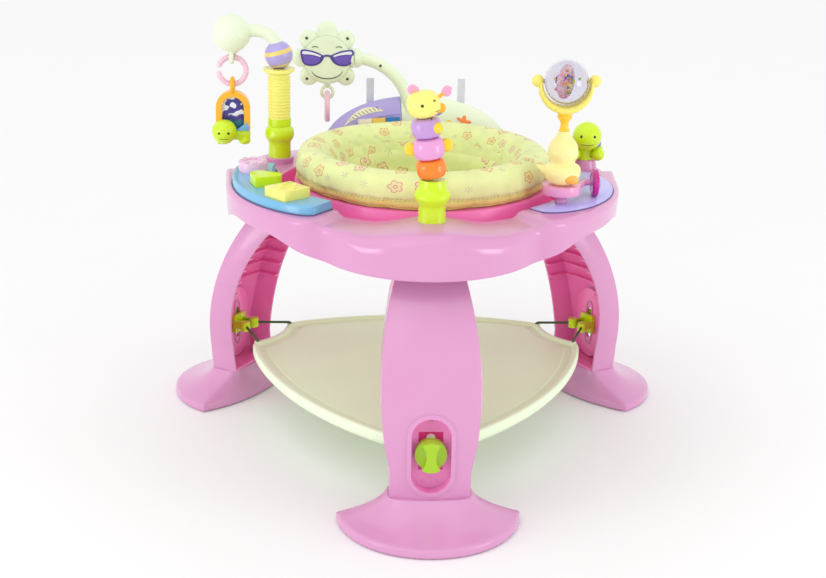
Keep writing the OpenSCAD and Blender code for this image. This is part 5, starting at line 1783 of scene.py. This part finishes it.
class JUMPER_OT_hanging_toy(bpy.types.Operator):
    """Golden arch with a picture and a small turtle"""

    bl_idname = "jumper.hanging_toy"
    bl_label = "Hanging turtle"

    def execute(self, context):
        body = "hanging"
        dress("hanging_arch", tinted("gold"), 0.002, segments=3)
        base = spot(ARM_BALL_X, LEFT_Y, TURTLE_Z)
        front = base @ turn(90, "X")
        outline = [(16.6 * cos(t), 34 + 16.6 * sin(t)) for t in (pi * k / 30 for k in range(31))]
        outline = outline + [(-16.6, 0.4), (16.6, 0.4)]
        picture = hanging_picture()
        panel = plate(outline, 5, 0.4, front @ by(0, 0, -2.5))
        add("turtle_picture", panel, picture, 50, body, "purple_plastic", "hanging_turtle")
        block = []
        for y, s in ((-8, 0.9), (-7.2, 0.97), (-5.5, 1), (5.5, 1), (7.2, 0.97), (8, 0.9)):
            block.append([tuple(base @ Vector((26 * s * x, y, -8 + 8 * s * z))) for x, z in hanging_soft_box(40)])
        add("turtle_body", loft(block), tinted("lime"), 60, body, "lime_plastic", "hanging_turtle")
        wedge = [(2, -1), (24, -1), (25, 3), (22, 12), (17, 9), (9, 3)]
        wave = plate(wedge, 4, 0.8, front @ by(0, 0, 5))
        add("turtle_wave", wave, tinted("blue"), 50, body, "blue_plastic", "hanging_turtle")

        def egg(d, p):
            return Vector((p.x * (1 + 0.05 * d.z), p.y, p.z - 1.2 * max(0.0, -d.z) ** 2))

        head = base @ Vector((-13, -15, -1))
        shapes = [ball(head, (18.8, 17.5, 18.6), bend=egg)]
        for x, z in ((-17, -17), (17, -17)):
            shapes.append(ball(base @ Vector((x, -2, z)), (9.2, 9.5, 7.0)))
        for x in (-22, -17, -12):
            shapes.append(ball(base @ Vector((x, -10.4, -19.2)), (2.6, 2.2, 3.0), 16, 10))
        add("turtle_head", joined(*shapes), tinted("lime"), 180, body, "lime_plastic", "hanging_turtle")
        eyes = []
        for x in (-0.36, 0.4):
            d = Vector((x, -0.9, 0.02)).normalized()
            eyes.append((head + Vector((d.x * 18.6, d.y * 17.3, d.z * 18.4)), d))
        piece(dots("turtle_eyes", eyes, 0.0021, 0.0008, eye_print()), body, "lime_plastic", "hanging_turtle")
        smile = []
        for k in range(17):
            u = radians(-30 + 60 * k / 16)
            d = Vector((sin(u) * 0.9, -cos(u), -0.42 - 0.12 * cos(2 * u))).normalized()
            smile.append(head + Vector((d.x * 18.7, d.y * 17.5, d.z * 18.9)))
        add("turtle_smile", tube(smile, taper(17, 0.55), 6), eye_print(), 180, body, "lime_plastic", "hanging_turtle")
        return {"FINISHED"}


def flower_reach(a):
    total = 42.0**30
    for i in (1, 2, 3, 4, 5, 7):
        d = a - pi / 4 * i
        tip = 17.0 if i == 2 else 15.0
        room = tip**2 - (42 * sin(d)) ** 2
        if cos(d) > 0 and room > 0:
            total += (42 * cos(d) + sqrt(room)) ** 30
    return total ** (1 / 30)


def flower_loop(place, body):
    """Hanging ring under the flower, joined to it by a short neck."""
    pts = arc(9.4, 0, 360, 48, place @ by(0, -56, 0))
    neck = [place @ Vector((0, y, 0)) for y in (-38, -42, -46)]
    loop = joined(tube(pts[:-1], 2.7, 12, closed=True), tube(neck, [8.5, 6.2, 4.6], 20))
    add("flower_loop", loop, tinted("pale_green"), 180, body, "pale_green_plastic", "flower_head")


def flower_face(place, body):
    """Wide glasses with a painted highlight, a white band across each lens, thin brows and a wide smile."""
    frames, lens, glints, lines = [], [], [], []
    for s in (-1, 1):
        edge = flower_outline(
            s,
            [
                (5, 5), (14, 10), (27, 14), (39, 15), (42.5, 12), (41.5, 2), (38, -7), (30, -11), (19, -10.5),
                (11, -6.5), (6, 0),
            ],
        )
        frames.append(plate(edge, 5.0, 0.4, place @ by(0, 0, 9.6), 0.8))
        edge = flower_outline(
            s, [(10, 2.6), (20, 4.6), (30, 6), (39, 6.4), (38.4, 1), (36, -5.4), (29.5, -8.6), (20, -8.2), (13, -4.8)]
        )
        lens.append(plate(edge, 1.2, 0.4, place @ by(0, 0, 14.4), 0.4))
        # Painted highlight: a white band across the top of each lens.
        edge = flower_outline(
            s, [(10, 5.6), (18, 9), (28, 11.8), (38, 12.6), (39, 8.2), (30, 7.6), (20, 6.2), (11, 3.8)]
        )
        glints.append(plate(edge, 1.1, 0.2, place @ by(0, 0, 14.4), 0.3))
        brow = [
            place @ Vector((s * (19 + 6 * cos(t)), 16 + 4 * sin(t), 13.3))
            for t in (radians(30 + 120 * k / 14) for k in range(15))
        ]
        lines.append(tube(brow, taper(15, 0.7), 6))
    frames.append(tube([place @ Vector((x, 4.4 + 1.2 * cos(x / 4), 13.4)) for x in np.linspace(-7, 7, 11)], 1.7, 10))
    smile = [
        place @ Vector((25 * cos(t), -17 + 14.5 * sin(t), 13.2))
        for t in (radians(190 + 160 * k / 32) for k in range(33))
    ]
    lines.append(tube(smile, taper(33, 0.9), 6))
    rim = plastic("glasses_rim", srgb(70, 56, 150), 0.22, 0.4)
    white = plastic("white_print", srgb(240, 238, 250), 0.3, 0.2)
    for name, shapes, mat, slot in (
        ("flower_glasses", frames, rim, "purple_plastic"),
        ("flower_lenses", lens, tinted("purple"), "purple_plastic"),
        ("flower_glints", glints, white, "cream_plastic"),
        ("flower_smile", lines, ink("face_print", (70, 76, 60)), "pale_green_plastic"),
    ):
        add(name, joined(*shapes), mat, 50, body, slot, "flower_head")


def flower_outline(side, points):
    """Closed smooth outline through points on the right half, or mirrored to the left."""
    pts = [(side * x, y, 0) for x, y in points][:: 1 if side < 0 else -1]
    return [(q.x, q.y) for q in through(pts + pts[:1], 5)[:-1]]


class JUMPER_OT_flower(bpy.types.Operator):
    """Puffed flower with glasses, its bent arm and ring link"""

    bl_idname = "jumper.flower"
    bl_label = "Flower"

    def execute(self, context):
        body = "flower"
        place = spot(FLOWER_X, FLOWER_Y, FLOWER_Z) @ turn(90, "X")
        hub = spot(FLOWER_X, FLOWER_Y, FLOWER_Z) @ turn(90, "Y")
        n, rows = 168, 26
        rings = []
        for j in range(rows + 1):
            t = radians(-90 + 180 * j / rows)
            share = max(0.002, abs(cos(t)) ** 0.5)
            deep = 11 * signed(sin(t), 0.85)
            ring = []
            for a in turns(n):
                r = share * flower_reach(a)
                ring.append(tuple(place @ Vector((r * cos(a), r * sin(a), deep))))
            rings.append(ring)
        petals = loft(rings, cap=False)
        add("flower_petals", petals, tinted("pale_green"), 70, body, "pale_green_plastic", "flower_head")
        face = plate(circle(38, 72), 3.4, 0.4, place @ by(0, 0, 9.4), 3.0, 8)
        add("flower_face", face, tinted("pale_green"), 60, body, "pale_green_plastic", "flower_head")
        flower_loop(place, body)
        flower_face(place, body)
        screws = []
        for a in (45, 135, 225, 315):
            d = radians(a)
            screws.append((place @ Vector((46 * cos(d), 46 * sin(d), 9.4)), FORWARD))
        marks = dots("flower_screws", screws, sizes().screw, 0.0009, dark_recess())
        piece(marks, body, "pale_green_plastic", "flower_head")
        collar = lathe([(6, 33), (10, 34), (15, 37.4), (16, 40.2), (15.6, 42.6), (12.4, 42.7)], 48, hub)
        add("flower_collar", collar, tinted("pale_green"), 50, body, "pale_green_plastic", "flower_head")
        dress("flower_arm", tinted("pale_green"), 0, 40)
        shape = lathe([(10, 43.4), (14.6, 43.6), (15.8, 46), (15.2, 50.5), (12.6, 54.4), (10.2, 56)], 48, hub)
        add("flower_arm_collar", shape, tinted("pale_green"), 50, "stand", "pale_green_plastic")
        d = radians(62)
        at = spot(-101 + 90 * cos(d), FLOWER_Y, 446 + 90 * sin(d)) @ Vector((0, -9.9, 0))
        screw = dots("flower_arm_screw", [(at, FORWARD)], sizes().screw, 0.0007, dark_recess())
        piece(screw, "stand", "pale_green_plastic")
        ring_link(
            "flower_ring", "link_flower", "link_flower", spot(FLOWER_X, FLOWER_Y, FLOWER_LINK_Z) @ turn(90, "Y")
        )
        return {"FINISHED"}


def bug_bead(name, r, z, h, shares, stem, mat, slot):
    add(f"{name}_bead", turned(shares, r, h, stem @ by(0, 0, z), 64), mat, 60, f"bead_{name}", slot, f"bead_{name}")


def bug_pad(at, r, thick):
    """Pillow-shaped side pad."""
    h = thick / 2
    return lathe(
        [
            (0.01, -h), (r * 0.6, -h), (r * 0.88, -h * 0.78), (r, -h * 0.3), (r, h * 0.3), (r * 0.88, h * 0.78),
            (r * 0.6, h), (0.01, h),
        ],
        36,
        at,
    )


def bug_head(stem):
    body = "bug_head"
    low = stem @ by(0, 0, 83.5)
    shares = [(0.45, 0), (0.8, 0.12), (0.98, 0.35), (1, 0.55), (0.86, 0.8), (0.55, 0.95), (0.04, 1)]
    nose = Vector((11, -13.5, 15))
    muzzle = ball(low @ nose, (10.5, 9.0, 9.5), 32, 20)
    face = joined(turned(shares, 22, 36, low, 64), muzzle)
    add("bug_face", face, tinted("yellow"), 60, body, "yellow_plastic", body)
    curls, stalks = [], []
    for s in (-1, 1):
        root = low @ turn(16, "Y") @ by(s * 12.5, 0, 28 if s > 0 else 24)
        stalks.append(tube([root @ Vector((s * x, 0, 1.1 * x)) for x in (-2, 1, 4, 7.5)], [3, 2.6, 2.4, 2.2], 12))
        centre = root @ by(s * 9.5, 0, 9.5) @ turn(90, "X")
        coil = [
            centre @ Vector(((6.4 - 0.95 * t) * cos(t * s + 0.6), (6.4 - 0.95 * t) * sin(t * s + 0.6), 0))
            for t in np.linspace(0, 5.6, 40)
        ]
        curls.append(tube(coil, [2.3] * 36 + [2.2, 2.0, 1.7, 1.2], 12))
        curls.append(plate(circle(6.6, 32), 2.6, 0.4, centre @ by(0, 0, -1.3), 0.8))
    add("bug_stalks", joined(*stalks), tinted("gold"), 60, body, "gold_plastic", body)
    pink = plastic("feeler_plastic", srgb(240, 170, 206), 0.28, 0.3)
    add("bug_feelers", joined(*curls), pink, 60, body, "pink_plastic", body)
    ear = low @ by(21.5, -2, 10) @ turn(90, "X")
    add("bug_cheek", bug_pad(ear, 6.6, 8), tinted("gold"), 60, body, "gold_plastic", body)
    eyes = []
    for a, z in ((-96, 19.5), (-50, 22.5)):
        d = way(a, 0.12)
        eyes.append((low @ (Vector((d.x, d.y, 0)) * 21.9 + Vector((0, 0, z))), low.to_3x3() @ d))
    piece(dots("bug_eyes", eyes, 0.0021, 0.0012, eye_print()), body, "yellow_plastic", body)
    smile = []
    for k in range(15):
        u = radians(-34 + 68 * k / 14)
        d = Vector((0.63 + 0.75 * sin(u) * 0.8, -0.78 + 0.3 * sin(u), -0.25 - 0.32 * cos(u))).normalized()
        smile.append(low @ (nose + Vector((d.x * 10.6, d.y * 9.1, d.z * 9.6))))
    add("bug_smile", tube(smile, taper(15, 0.6), 6), ink("line_print"), 180, body, "yellow_plastic", body)


class JUMPER_OT_bug(bpy.types.Operator):
    """Turning beads and head on a leaning shaft"""

    bl_idname = "jumper.bug"
    bl_label = "Bead bug"

    def execute(self, context):
        c = colours()
        dress("bug_base", tinted("lime"), 0, 40)
        dress("bug_shaft", cream(), 0)
        stem = by(0, AXIS_Y - POST_R, BUG_Z) @ turn(BUG_TILT, "Y")
        shares = [(0.62, 0), (0.86, 0.08), (0.98, 0.3), (1, 0.5), (0.98, 0.7), (0.86, 0.92), (0.62, 1)]
        orange = plastic("orange_plastic", c.orange, 0.22, 0.4)
        bead_pink = plastic("bead_pink_plastic", srgb(232, 160, 214), 0.24, 0.4)
        bead_purple = plastic("bead_purple_plastic", srgb(196, 152, 216), 0.24, 0.4)
        pad = plastic("pad_plastic", srgb(248, 216, 30), 0.26, 0.35)
        bug_bead("orange", 20, 3, 25, shares, stem, orange, "orange_plastic")
        bug_bead("pink", 21.2, 28.5, 28, shares, stem, bead_pink, "pink_plastic")
        bug_bead("purple", 20, 57, 26, shares, stem, bead_purple, "lavender_plastic")
        shapes = []
        for s in (-1, 1):
            at = stem @ by(s * 23.4, 0, 28.5 + 15.4) @ turn(90, "X")
            shapes.append(bug_pad(at, 9.0, 11.5))
        add("pink_bead_pads", joined(*shapes), pad, 60, "bead_pink", "yellow_plastic", "bead_pink")
        at = stem @ by(13.5, -12, 57 + 13) @ turn(48, "Z") @ turn(90, "X")
        add("purple_bead_pad", bug_pad(at, 7.6, 10.5), pad, 60, "bead_purple", "yellow_plastic", "bead_purple")
        d = Vector((0.5, -0.86, 0))
        pip = (stem @ (d * 15.5 + Vector((0, 0, 83.2))), stem.to_3x3() @ d)
        pips = dots("bead_pips", [pip], 0.0012, 0.0012, dark_recess())
        piece(pips, "bead_purple", "lavender_plastic", "bead_purple")
        bug_head(stem)
        return {"FINISHED"}


def right_duck():
    """Plump body with an upturned tail, folded wings and a tapering neck."""
    base = spot(DUCK_X, DUCK_Y, 427.5)
    shares = [
        (0.5, 0), (0.85, 0.08), (1, 0.22), (0.92, 0.34), (0.66, 0.41), (0.78, 0.52), (0.82, 0.62), (0.72, 0.76),
        (0.42, 0.9), (0.3, 1),
    ]
    plump = turned(shares, 26, 76, base, 64)
    tail = []
    for x, z, r in ((-8, 14, 13), (-18, 17, 11), (-25, 20, 8), (-31, 23.5, 5), (-35, 26.5, 2.2), (-36.4, 27.6, 0.5)):
        tail.append(
            [tuple(base @ Vector((x + 0.4 * r * sin(t), r * cos(t), z + 0.75 * r * sin(t)))) for t in turns(28)]
        )
    duck = plastic("duck_plastic", srgb(253, 244, 164), 0.3, 0.25)
    add("duck_body", joined(plump, loft(tail)), duck, 60, "stand", "yellow_plastic", "duck")

    def fold(d, p):
        return Vector((p.x - 3 * d.z, p.y, p.z))

    wings = [ball(base @ Vector((9, s * 21.5, 12)), (11, 5, 7.5), 32, 18, fold) for s in (-1, 1)]
    gold = plastic("wing_plastic", srgb(250, 186, 76), 0.3, 0.25)
    add("duck_wings", joined(*wings), gold, 180, "stand", "gold_plastic", "duck")


class JUMPER_OT_right_station(bpy.types.Operator):
    """Inlay, boat, rolling wheel and duck"""

    bl_idname = "jumper.right_station"
    bl_label = "Duck and wheel"

    def execute(self, context):
        c = colours()
        dress("plate_right", plastic("inlay_plastic", srgb(194, 190, 255), 0.32, 0.25), 0.0008)
        groove("inlay_gap", sector_line(-50, 9, -0.8), SHAPE_TOP + 0.5, 0.8)
        dress("boat", plastic("boat_plastic", srgb(238, 160, 206), 0.26, 0.35), 0.0012, 40)
        dress("wheel_tyre", plastic("wheel_plastic", c.wheel, 0.2, 0.45), 0, 45)
        dress("wheel_hub", tinted("lavender"), 0.0008)
        wheel = spot(240, -104, 421.8)
        pips = []
        for t in turns(18):
            d = Vector((0, cos(t), sin(t)))
            for x in (-2.2, 2.2):
                pips.append((wheel @ (d * 18.4 + Vector((x, 0, 0))), d))
        piece(dots("wheel_tread", pips, 0.0018, 0.0009, plastic("wheel_plastic", c.wheel)), "wheel", "wheel_plastic")
        right_duck()
        return {"FINISHED"}


def crescent_rattle(mid):
    body = "rattle"
    dress("clear_ball", clear_plastic(), 0, 60)
    back = plate(circle(24, 56), 1.4, 0.6, mid @ turn(52, "Z") @ turn(90, "X") @ by(0, 0, -2), 0.4)
    pink = plastic("disc_plastic", srgb(226, 190, 196), flow=0.5)
    add("rattle_disc", back, pink, 50, body, "yellow_plastic", "rattle_core")
    shell = ball(mid @ Vector((0, 0, -2)), (20, 19, 20), 32, 20)
    tints = (
        ((250, 214, 40), 5, 2.0),
        ((236, 120, 170), 11, 2.3),
        ((120, 190, 60), 17, 2.0),
        ((110, 80, 180), 23, 2.2),
        ((240, 150, 30), 31, 1.9),
    )
    for k, (rgb, seed, r) in enumerate(tints):
        obj = make(f"rattle_beads_{k + 1}", *shell, tinted("yellow"), sharp=180)
        mat = plastic(f"bead_tint_{k + 1}", srgb(*rgb), 0.25, 0.3)
        run_tree(
            obj,
            bead_tree(),
            {
                "Density": 2000.0,
                "Bead": r * MM,
                "Centre": tuple(mid @ Vector((0, 0, -2)) * MM),
                "Seed": seed,
                "Material": mat,
            },
        )
        piece(obj, body, "yellow_plastic", "rattle_core")


class JUMPER_OT_crescent(bpy.types.Operator):
    """Turning crescent with a clear ball full of beads"""

    bl_idname = "jumper.crescent"
    bl_label = "Crescent and clear ball"

    def execute(self, context):
        body = "moon"
        foot = spot(DUCK_X, DUCK_Y, MOON_Z)
        goblet = [(0.7, 0), (0.55, 0.15), (0.55, 0.4), (0.95, 0.62), (0.85, 0.72), (1, 0.82), (0.8, 1)]
        neck = turned(goblet, 11, 30, foot, 56)
        pin = lathe([(3.9, -28), (3.9, 1)], 24, foot)
        gold = plastic("goblet_plastic", srgb(255, 208, 44), 0.26, 0.35)
        add("goblet_neck", joined(neck, pin), gold, 50, body, "gold_plastic", "moon_yoke")
        mid = spot(DUCK_X, DUCK_Y, CLEAR_Z)
        n = 64
        rings = []
        for k in range(n + 1):
            t = radians(180 + 180 * k / n)
            swell = sin(pi * k / n)
            thick = 2.6 + 3.6 * swell
            wide = 8.0 + 4.6 * swell
            r = 32.4 + thick
            ring = []
            for u in turns(20):
                cu, su = cos(u), sin(u)
                d = thick * signed(cu, 0.8)
                y = wide * signed(su, 0.8)
                ring.append(tuple(mid @ Vector(((r + d) * cos(t), y, (r + d) * sin(t)))))
            rings.append(ring)
        shapes = [loft(rings)]
        for s in (-1, 1):
            shapes.append(ball(mid @ Vector((s * 39.5, 0, 1)), (8.4, 8.6, 8.6), 32, 20))
        moon = plastic("moon_plastic", srgb(252, 238, 116), 0.3, 0.25)
        add("crescent", joined(*shapes), moon, 60, body, "yellow_plastic", "moon_yoke")
        pips = []
        for a in (-112, -78):
            d = Vector((cos(radians(a)), 0, sin(radians(a))))
            pips.append((mid @ (d * 39 + Vector((0, -11.4, 0))), Vector((0, -1, -0.2))))
        piece(dots("crescent_pips", pips, 0.0014, 0.0008, dark_recess()), body, "yellow_plastic", "moon_yoke")
        crescent_rattle(mid)
        return {"FINISHED"}


def perch_scutes(place):
    """Rounded plates of a shell, paler at their middles."""

    def paint(t, vector, colour):
        cells = {"Vector": local_vector(t, vector, place), "Scale": 62.0, "Randomness": 0.55}
        cells = node(t, "ShaderNodeTexVoronoi", cells, feature="DISTANCE_TO_EDGE")
        edge = Field(t, cells.outputs["Distance"]).ramp(0.03, 0.12)
        return edge.mix(shaded(colour, 0.55), colour)

    return paint


class JUMPER_OT_perch_toy(bpy.types.Operator):
    """Turtle on its pedestal"""

    bl_idname = "jumper.perch_toy"
    bl_label = "Perched turtle"

    def execute(self, context):
        place = spot(272 * cos(radians(PERCH_A)), 272 * sin(radians(PERCH_A)), 410.3) @ turn(-95, "Z")
        dress("perch_turtle", tinted("lime"), 0, 40)
        shell = plastic("shell_plastic", colours().purple, 0.24, 0.4, pattern=perch_scutes(place))
        dress("perch_shell", shell, 0.0006, 40)
        head = place @ Vector((17.6, 0, 38.7))
        eyes, smile = [], []
        spin = place.to_3x3()
        for s in (-1, 1):
            d = Vector((0.86, s * 0.46, 0.14)).normalized()
            eyes.append((head + spin @ (d * 21.9), spin @ d))
        piece(dots("perch_eyes", eyes, 0.0023, 0.001, eye_print()), "perch", "lime_plastic")
        for k in range(17):
            u = radians(-34 + 68 * k / 16)
            d = Vector((cos(u), sin(u), -0.4 - 0.14 * cos(2 * u))).normalized()
            smile.append(head + spin @ (d * 22))
        add("perch_smile", tube(smile, taper(17, 0.6), 6), ink("line_print"), 180, "perch", "lime_plastic")
        return {"FINISHED"}


PANEL_SHARES = [
    (0, 0), (0.04, 0.2), (0.1, 0.45), (0.2, 0.7), (0.36, 0.9), (0.55, 1), (0.75, 0.92), (0.92, 0.68), (1, 0.3), (1, 0)
]


def panel_rise(a):
    return PANEL_H * sin(radians(180 * (a - PANEL_FROM + 2) / PANEL_SPAN)) ** 0.32


def panel_point(a, share):
    """Point of the panel's skin at a bearing and a share along its section."""
    line = through([(*s, 0) for s in PANEL_SHARES], 6)
    x = share * (len(line) - 1)
    i = min(int(x), len(line) - 2)
    p = line[i].lerp(line[i + 1], x - i)
    r = PANEL_IN + (PANEL_OUT - PANEL_IN) * p.x
    d = radians(a)
    return Vector((r * cos(d), r * sin(d) + AXIS_Y, TRAY_TOP + max(0.0, p.y) * panel_rise(a)))


def panel_normal(a, share):
    u = panel_point(a + 0.3, share) - panel_point(a - 0.3, share)
    w = panel_point(a, share + 0.01) - panel_point(a, share - 0.01)
    n = u.cross(w).normalized()
    inward = Vector((-cos(radians(a)), -sin(radians(a)), 0.4))
    return n if n.dot(inward) > 0 else -n


def panel_patch(outline, thick, dome=0.3):
    """Sticker or insert lying on the panel's skin, from an outline of (bearing, share) points."""
    mid = Vector((sum(p[0] for p in outline) / len(outline), sum(p[1] for p in outline) / len(outline)))
    rings = []
    for s, h in (
        (1.0, -0.6), (1.0, thick * 0.6), (0.97, thick), (0.75, thick + dome * 0.4), (0.5, thick + dome * 0.7),
        (0.25, thick + dome), (0.01, thick + dome),
    ):
        ring = []
        for a, q in outline:
            at = mid + (Vector((a, q)) - mid) * s
            ring.append(tuple(panel_point(at.x, at.y) + panel_normal(at.x, at.y) * h))
        rings.append(ring)
    return loft(rings, cap=False)


def panel_speaker():
    """Cream crescent over the speaker, with rows of small holes."""
    outline = []
    for k in range(25):
        t = k / 24
        outline.append((120.2 - 17.4 * t, 0.375 + 0.1 * sin(pi * t)))
    for k in range(1, 24):
        t = 1 - k / 24
        outline.append((120.2 - 17.4 * t, 0.375 + 0.012 * sin(pi * t)))
    pale = plastic("speaker_plastic", srgb(240, 236, 204), 0.36, 0.15)
    add("speaker_insert", panel_patch(outline, 0.9, 0.2), pale, 60, "stand", "cream_plastic")
    holes = []
    for j, share in enumerate((0.4, 0.415, 0.43)):
        for k in range(9 - j):
            a = 117 - (j + 2 * k) * 0.75 - j * 0.4
            holes.append((panel_point(a, share) + panel_normal(a, share) * 1.05, panel_normal(a, share)))
    piece(dots("speaker_holes", holes, 0.0009, 0.0004, dark_recess()), "stand", "cream_plastic")


def panel_bay():
    """Raised frame round the keys and the darker bay that they stand in."""
    frame_line = []
    corners = ((115.1, 0.05), (115.1, 0.328), (96.6, 0.328), (96.6, 0.05))
    for i, (a, s) in enumerate(corners):
        b, q = corners[(i + 1) % 4]
        for k in range(24):
            t = k / 24
            at, sh = a + (b - a) * t, s + (q - s) * t
            frame_line.append(panel_point(at, sh) + panel_normal(at, sh) * 0.4)
    add("key_bay_frame", tube(frame_line, 0.8, 8, closed=True), tinted("lavender"), 60, "stand", "lavender_plastic")
    square = [(signed(cos(t), 0.25), signed(sin(t), 0.25)) for t in turns(64)]
    outline = [(106.45 + 9.2 * x, 0.19 + 0.118 * y) for x, y in square]
    bay = panel_patch(outline, 0.25, 0)
    add("key_bay", bay, plastic("bay_plastic", srgb(120, 108, 178), 0.4, 0.1), 60, "stand", "lavender_plastic")


def panel_stickers():
    """Half moon, oval, star and dot on the dome."""

    def put(name, shape, a, s, size, rgb, slot):
        out = [(a - x * size * 0.25, s + y * size * 0.0052) for x, y in shape]
        add(name, panel_patch(out, 0.7, 0.3), plastic(f"{name}_print", srgb(*rgb), 0.3, 0.3), 60, "stand", slot)

    half = [(cos(t), 0.75 * sin(t)) for t in (pi + pi * k / 24 for k in range(25))]
    half += [(0.5, 0.12), (0, 0.18), (-0.5, 0.12)]
    put("dome_half_moon", half, 82.5, 0.365, 12, (160, 144, 216), "lavender_plastic")
    oval = [(cos(t), 0.6 * sin(t)) for t in turns(32)]
    put("dome_oval", oval, 87.0, 0.27, 7, (206, 238, 150), "lime_plastic")
    star = []
    for t in turns(50):
        r = 0.72 + 0.28 * cos(5 * t)
        star.append((r * sin(t), r * cos(t)))
    put("dome_star", star, 70.5, 0.31, 13, (250, 132, 20), "orange_plastic")
    ring = [(cos(t), sin(t)) for t in turns(32)]
    put("dome_dot", ring, 76.5, 0.27, 5, (250, 214, 60), "yellow_plastic")


class JUMPER_OT_panel(bpy.types.Operator):
    """Music panel with its keys, speaker and button, and the dome beside it"""

    bl_idname = "jumper.panel"
    bl_label = "Music panel"

    def execute(self, context):
        for name, low, high, mat, slot in (
            ("music_panel", 96.1, 123, tinted("lavender"), "lavender_plastic"),
            ("panel_dome", PANEL_FROM, 95.9, tinted("pale_green"), "pale_green_plastic"),
        ):
            rings = []
            for i in range(49):
                a = low + (high - low) * i / 48
                rings.append([tuple(panel_point(a, k / 54)) for k in range(55)])
            add(f"{name}_shell", loft(rings), mat, 45, "stand", slot, name)
        panel_speaker()
        panel_bay()
        key = {"white": (244, 238, 214), "yellow": (250, 206, 84), "blue": (16, 122, 196)}
        for name, rgb in key.items():
            dress(f"key_{name}", plastic(f"key_{name}_plastic", srgb(*rgb), 0.26, 0.35), 0.0012, segments=3)
        dress("panel_button", plastic("button_plastic", srgb(196, 222, 140), 0.26, 0.35), 0.0012, segments=3)
        dress("panel_tabs", frosted_plastic(), 0.0006)
        panel_stickers()
        return {"FINISHED"}


class JUMPER_PT_pieces(bpy.types.Panel):
    """Pieces of the jumper and the sizes and colours that they use"""

    bl_idname = "JUMPER_PT_pieces"
    bl_label = "Baby jumper"
    bl_space_type = "VIEW_3D"
    bl_region_type = "UI"
    bl_category = "Jumper"

    def draw(self, context):
        layout = self.layout
        for group in (context.scene.jumper_sizes, context.scene.jumper_colours):
            box = layout.box()
            for key in group.__annotations__:
                box.prop(group, key)
        for op in OPERATORS:
            layout.operator(op.bl_idname)


OPERATORS = (
    JUMPER_OT_stage,
    JUMPER_OT_cords,
    JUMPER_OT_tray,
    JUMPER_OT_feet,
    JUMPER_OT_legs,
    JUMPER_OT_adjusters,
    JUMPER_OT_platform,
    JUMPER_OT_seat,
    JUMPER_OT_left_station,
    JUMPER_OT_left_post,
    JUMPER_OT_hanging_toy,
    JUMPER_OT_flower,
    JUMPER_OT_bug,
    JUMPER_OT_right_station,
    JUMPER_OT_crescent,
    JUMPER_OT_perch_toy,
    JUMPER_OT_panel,
)
CLASSES = (JumperColours, JumperSizes, *OPERATORS, JUMPER_PT_pieces)


def register():
    for cls in CLASSES:
        bpy.utils.register_class(cls)
    bpy.types.Scene.jumper_colours = bpy.props.PointerProperty(type=JumperColours)
    bpy.types.Scene.jumper_sizes = bpy.props.PointerProperty(type=JumperSizes)


def unregister():
    del bpy.types.Scene.jumper_sizes
    del bpy.types.Scene.jumper_colours
    for cls in reversed(CLASSES):
        bpy.utils.unregister_class(cls)


def plain(box):
    return [[float(c) for c in corner] for corner in box]


def main():
    register()
    for op in OPERATORS:
        family, name = op.bl_idname.split(".")
        getattr(getattr(bpy.ops, family), name)()


if __name__ == "__main__":
    main()
